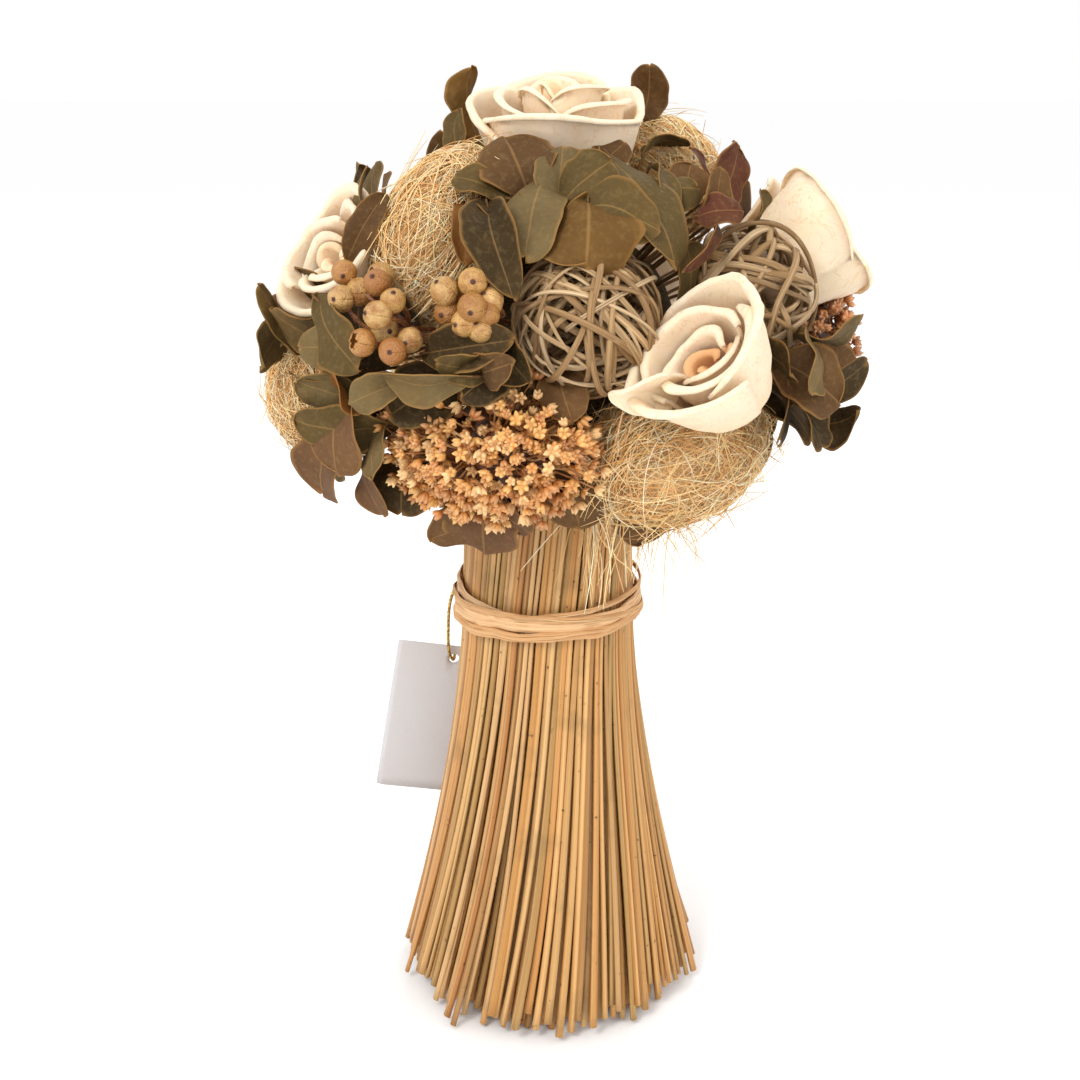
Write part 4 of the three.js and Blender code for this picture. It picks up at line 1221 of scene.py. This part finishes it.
# Each leaf is [its tip], [the foot of its blade], width, roll, fold and colour. Fold bends its sides up.
LEAVES = {
    "leaves_crown_front": [
        ([-27, 60, 78], [-12, 47, 66], 23, 0, 0.1, "brown"),
        ([-9, 26, 79], [-7, 53, 70], 18, 0, -0.15, "grey"),
        ([0, 56, 77], [-2, 40, 68], 15, 0, 0.0, "grey"),
        ([16, 49, 79], [-1, 42, 70], 15, 0, 0.1, "olive"),
        ([5, 25, 82], [7, 42, 75], 29, 0, -0.3, "gold"),
        ([23, 31, 81], [0, 41, 73], 16, 10, 0.1, "olive"),
        ([27, 25, 80], [18, 60, 72], 21, 0, -0.1, "olive"),
        ([33, 37, 76], [43, 56, 70], 9, 20, 0.3, "olive"),
        ([48, 44, 76], [36, 47, 66], 12, 0, -0.4, "olive"),
        ([37, 64, 72], [20, 62, 62], 11, 0, 0.2, "brown"),
        ([88, 58, 76], [62, 64, 66], 9, 60, 0.2, "olive"),
        ([10, 58, 70], [6, 46, 62], 14, 0, 0.2, "dark"),
    ],
    "leaves_crown_right": [
        ([75, 55, 77], [80, 44, 66], 9, 0, 0.1, "red"),
        ([75, 48, 84], [62, 38, 70], 16, 0, 0.1, "red"),
        ([86, 48, 86], [84, 42, 74], 8, 0, 0.1, "red"),
        ([53, 44, 83], [49, 34, 70], 9, 30, 0.3, "brown"),
        ([50, 33, 83], [42, 37, 72], 11, 0, 0.1, "red"),
        ([62, 37, 85], [62, 30, 76], 10, 0, 0.1, "olive"),
        ([29, 23, 77], [57, 42, 70], 7, 40, 0.4, "red"),
        ([60, 52, 74], [50, 44, 64], 13, 0, 0.0, "brown"),
    ],
    "leaves_top_back": [
        ([-100, 71, 92], [-104, 66, 70], 13, 0, 0.35, "gold"),
        ([95, 72, 92], [110, 68, 70], 12, 0, 0.1, "brown"),
        ([-76, 65, 82], [-64, 58, 66], 9, 0, 0.3, "olive"),
        ([-140, 62, 86], [-150, 54, 60], 17, 0, 0.1, "olive"),
        ([178, 70, 88], [176, 58, 60], 19, 0, 0.1, "brown"),
        ([150, 52, 84], [158, 50, 58], 18, 0, 0.0, "grey"),
        ([-170, 58, 84], [-178, 50, 60], 17, 0, 0.1, "olive"),
        ([-148, 44, 82], [-158, 34, 56], 21, 0, 0.1, "olive"),
        ([-128, 52, 84], [-140, 42, 56], 19, 0, 0.1, "brown"),
        ([-172, 46, 76], [-176, 34, 54], 20, 0, 0.1, "dark"),
        ([-146, 58, 78], [-150, 48, 54], 20, 0, 0.1, "dark"),
        ([164, 42, 80], [170, 34, 56], 19, 0, 0.1, "olive"),
    ],
    "leaves_upper_left": [
        ([-11, 18, 81], [-25, 43, 72], 15, 0, 0.75, "dark"),
        ([-24, 25, 77], [-37, 45, 70], 9, 40, 0.1, "orange"),
        ([-37, 46, 77], [-18, 45, 68], 11, 0, 0.15, "olive"),
        ([-16, 36, 76], [-22, 46, 66], 13, 0, 0.3, "dark"),
    ],
    "leaves_beside_left_rose": [
        ([-65, 40, 89], [-62, 27, 74], 10, 0, 0.1, "grey"),
        ([-54, 22, 86], [-58, 38, 80], 9, 50, 0.2, "brown"),
        ([-84, 42, 84], [-80, 34, 64], 15, 0, 0.1, "olive"),
    ],
    "leaves_left": [
        ([-68, 13, 102], [-74, -3, 82], 9, 40, 0.2, "olive"),
        ([-66, 9, 99], [-62, 4, 76], 18, 0, 0.0, "olive"),
        ([-67, -1, 102], [-79, 5, 84], 13, 0, 0.1, "grey"),
        ([-41, 2, 91], [-57, 14, 90], 16, 0, 0.15, "olive"),
        ([-56, 4, 95], [-46, 5, 78], 13, 0, 0.1, "grey"),
        ([-58, -2, 97], [-54, -2, 74], 11, 50, 0.1, "olive"),
        ([-86, 8, 97], [-82, 6, 70], 18, 0, 0.1, "brown"),
        ([-62, 7, 84], [-50, 2, 62], 21, 0, 0.1, "dark"),
        ([-50, 15, 80], [-44, 6, 60], 20, 0, 0.1, "dark"),
        ([-72, 16, 92], [-68, 10, 68], 15, 0, 0.1, "olive"),
    ],
    "leaves_low_left": [
        ([-55, -3, 98], [-48, -7, 76], 13, 0, 0.1, "grey"),
        ([-50, -18, 97], [-51, -3, 78], 20, 0, 0.05, "purple"),
        ([-58, -9, 98], [-43, -13, 76], 15, 0, 0.1, "olive"),
        ([-67, -28, 96], [-58, -12, 78], 20, 0, 0.1, "purple"),
        ([-48, -30, 91], [-56, -20, 72], 15, 0, 0.05, "purple"),
        ([-41, -19, 93], [-44, -11, 76], 12, 0, 0.1, "grey"),
        ([-46, 1, 93], [-48, -9, 76], 13, 20, 0.2, "orange"),
        ([-82, -30, 90], [-76, -18, 70], 18, 0, 0.1, "olive"),
        ([-58, -13, 86], [-48, -6, 62], 21, 0, 0.1, "dark"),
        ([-70, -16, 88], [-60, -8, 64], 19, 0, 0.1, "dark"),
        ([-38, -8, 84], [-30, -2, 62], 20, 0, 0.1, "dark"),
        ([-46, -34, 84], [-44, -20, 62], 19, 0, 0.1, "dark"),
    ],
    "leaves_middle": [
        ([-41, -4, 95], [-33, 0, 83], 11, 0, 0.5, "grey"),
        ([-35, 1, 92], [-17, 2, 82], 10, 30, 0.6, "grey"),
        ([-12, 9, 86], [-32, 5, 78], 14, 0, 0.5, "dark"),
        ([-24, 5, 89], [-14, 4, 74], 11, 20, 0.3, "olive"),
        ([-10, 5, 87], [-18, 2, 76], 11, 0, 0.1, "brown"),
        ([-7, 1, 82], [-15, 8, 72], 12, 0, 0.5, "dark"),
        ([-20, -2, 84], [-14, 4, 66], 14, 0, 0.1, "dark"),
        ([2, -9, 74], [-2, 2, 60], 14, 0, 0.1, "brown"),
    ],
    "leaves_right": [
        ([62, 7, 103], [61, 5, 82], 15, 0, 0.0, "olive"),
        ([51, -3, 98], [62, 6, 82], 15, 0, 0.0, "grey"),
        ([58, -6, 100], [53, 1, 78], 20, 0, 0.1, "brown"),
        ([67, -1, 103], [64, -11, 80], 12, 40, 0.1, "dark"),
        ([66, -9, 103], [74, -17, 80], 13, 0, 0.4, "dark"),
        ([56, -15, 98], [60, -5, 80], 16, 0, 0.2, "dark"),
        ([82, -6, 100], [78, -4, 70], 19, 0, 0.1, "brown"),
        ([92, -12, 98], [84, -10, 70], 19, 0, 0.1, "olive"),
        ([46, 0, 92], [54, 4, 70], 15, 0, 0.1, "dark"),
        ([52, -13, 90], [60, -1, 64], 18, 0, 0.1, "dark"),
        ([66, -18, 90], [62, -6, 64], 18, 0, 0.1, "dark"),
        ([40, 17, 74], [46, 4, 56], 20, 0, 0.1, "dark"),
        ([38, 30, 72], [42, 14, 56], 19, 0, 0.1, "olive"),
    ],
    "leaves_under": [
        ([-40, -42, 85], [-22, -38, 66], 15, 0, 0.05, "purple"),
        ([-27, -47, 82], [-24, -32, 62], 25, 0, 0.05, "purple"),
        ([-10, -38, 80], [-22, -34, 66], 15, 0, 0.05, "purple"),
        ([6, -44, 74], [2, -26, 60], 18, 0, 0.1, "brown"),
        ([36, -54, 74], [30, -34, 60], 18, 0, 0.1, "brown"),
    ],
    "leaves_back_left": [
        ([-104, 40, 89], [-108, 28, 62], 19, 0, 0.1, "olive"),
        ([-126, 34, 91], [-116, 26, 62], 19, 0, 0.1, "brown"),
        ([-102, 4, 98], [-108, 14, 62], 19, 0, 0.1, "grey"),
        ([-124, 2, 95], [-116, 14, 62], 19, 0, 0.1, "olive"),
        ([-138, 18, 92], [-124, 18, 62], 18, 0, 0.1, "brown"),
        ([-94, 22, 92], [-100, 18, 64], 17, 0, 0.1, "olive"),
    ],
    "leaves_back_right": [
        ([104, 26, 95], [110, 18, 62], 19, 0, 0.1, "olive"),
        ([122, 32, 91], [116, 20, 62], 19, 0, 0.1, "brown"),
        ([106, 2, 100], [110, 10, 62], 19, 0, 0.1, "grey"),
        ([134, 8, 97], [122, 12, 62], 19, 0, 0.1, "olive"),
        ([120, -8, 96], [116, 4, 62], 18, 0, 0.1, "brown"),
        ([138, 26, 90], [128, 20, 62], 18, 0, 0.1, "olive"),
        ([100, -26, 84], [104, -8, 58], 21, 0, 0.1, "dark"),
        ([86, -34, 80], [92, -16, 58], 20, 0, 0.1, "brown"),
    ],
    "leaves_back_low": [
        ([-164, -2, 95], [-170, -4, 62], 19, 0, 0.1, "olive"),
        ([-152, 6, 93], [-162, 0, 62], 18, 0, 0.1, "brown"),
        ([176, -4, 93], [172, -4, 62], 19, 0, 0.1, "grey"),
        ([158, -34, 86], [162, -18, 62], 19, 0, 0.1, "purple"),
        ([-150, -36, 87], [-158, -18, 62], 19, 0, 0.1, "purple"),
        ([-108, -34, 89], [-114, -14, 62], 19, 0, 0.1, "olive"),
        ([104, -36, 89], [112, -16, 62], 19, 0, 0.1, "brown"),
        ([150, -6, 92], [156, -6, 62], 18, 0, 0.1, "olive"),
    ],
}


def leaf_surface(rng, tip, foot, width, roll, fold):
    """The middle surface of a leaf's blade, with its rim share, across and along it."""
    rows, columns = 30, 19
    length = np.linalg.norm(tip - foot)
    along = unit(tip - foot)
    outward = unit((tip + foot) / 2 - HEAD)
    across = unit(np.cross(along, outward))
    face = np.cross(across, along)
    a = math.radians(roll)
    across, face = across * math.cos(a) + face * math.sin(a), face * math.cos(a) - across * math.sin(a)
    v = np.sin(np.linspace(0, math.pi / 2, rows))[:, None] ** 1.15
    u = np.linspace(-1, 1, columns)[None]
    widest = rng.uniform(0.5, 0.66)
    tip_side = np.sqrt(1 - np.clip((v - widest) / (1 - widest), 0, 1) ** rng.uniform(2.0, 2.6))
    foot_side = np.sin(math.pi / 2 * np.clip(v / widest, 0, 1)) ** rng.uniform(0.7, 0.95)
    nick = 1 + 0.05 * np.sin(9 * v + rng.uniform(0, 6)) + 0.03 * np.sin(23 * v + rng.uniform(0, 6))
    half = width * 0.54 * np.maximum(tip_side * foot_side * nick, 0.03)
    x = u * half * (1 - 0.12 * abs(fold))
    lift = fold * np.abs(u) ** 1.5 * half
    bow = rng.uniform(0.06, 0.18) * length * np.sin(math.pi * v)
    twist = rng.uniform(-0.4, 0.4) * u * half * v
    ripple = 0.11 * width * np.abs(u) ** 2 * np.sin(rng.uniform(5, 9) * v + np.sign(u) * rng.uniform(0, 3))
    tip_curl = -rng.uniform(-0.06, 0.14) * length * v**3
    spine = -0.25 * np.exp(-((u / 0.09) ** 2)) * (1 - v)
    vein = 0.03 * np.cos(24 * (v * 1.0 - np.abs(u) * 0.36)) * (1 - np.abs(u) ** 4) * np.abs(u)
    z = lift + bow + twist + ripple + tip_curl + spine + vein
    y = v * length + 0.02 * length * np.sin(3 * u + rng.uniform(0, 6))
    surface = foot + x[..., None] * across + (y[..., None] * along) + z[..., None] * face
    broad = 1.2 * lumps(surface, 9, int(rng.integers(1000)))
    surface = surface + (broad + 0.25 * lumps(surface, 3, 7))[..., None] * face
    rim = np.maximum(np.abs(u) ** 90, np.broadcast_to(np.abs(2 * v - 1) ** 40, z.shape))
    return surface, np.broadcast_to(rim, z.shape)


def add_leaf_spray(number, node, leaves):
    rng = np.random.default_rng(600 + number)
    pile = Pile()
    stalks = []
    for tip_place, foot_place, width, roll, fold, shade in leaves:
        tip, foot = head_point(tip_place), head_point(foot_place)
        surface, rim = leaf_surface(rng, tip, foot, width, roll, fold)
        tint = np.clip(colour(LEAF_TINTS[shade]) * (1 + rng.normal(0, 0.1)), 0, 1)
        add_shell(pile, surface[None], 0.32, tint, rim[None] * 0.45)
        root = HEAD + unit(foot - HEAD) * (FOAM_RADIUS - 4)
        middle = (root + foot) / 2 + rng.normal(0, 1.5, 3)
        stalks.append(smooth_path([root, middle, foot, foot + (surface[4, 9] - foot) * 0.9], 14))
    tints = pick_tints(rng, ["#7a5a36", "#6b4a2c"], len(stalks), 0.1)
    add_tubes(pile, np.stack(stalks), 0.55 * np.linspace(1.2, 0.7, 14)[None], tints, 6)
    piece = finished(pile, f"{node[7:]}_leaves", "dried_leaf", [node])
    whole = piece.data.uv_layers["strip"].data
    coordinates = np.empty(len(whole) * 2, np.float32)
    whole.foreach_get("uv", coordinates)
    chart = np.concatenate(pile.charts)
    own = coordinates.reshape(-1, 2) - np.stack([7.3 * (chart % 97), 3.1 * (chart % 89)], 1)
    piece.data.uv_layers.new(name="leaf").data.foreach_set("uv", own.astype(np.float32).ravel())


def add_leaves():
    for number, (node, leaves) in enumerate(LEAVES.items()):
        add_leaf_spray(number, node, leaves)


def add_foam():
    rings, sides = 48, 72
    _, _, ball = ball_mesh(rings, sides)
    rough = 1 + 0.012 * lumps(ball, 0.1, 1)
    reach = (FOAM_RADIUS - 1.0) * rough
    placed = HEAD + ball * reach[..., None]
    placed[..., 2] = np.maximum(placed[..., 2], STRAW_TOP + 0.6)
    pile = Pile()
    add_shell(pile, placed[None], 1.0, colour("#4e4029"), 0.0)
    finished(pile, "foam", "foam", ["foam_ball"])


# ---------------------------------------------------------------- the whole sheaf

add_camera()
add_studio()
add_thread(add_tag())
add_straws()
add_raffia()
add_knot()
add_sisal()
add_rattan()
add_roses()
add_berries()
add_seed_heads()
add_leaves()
add_foam()
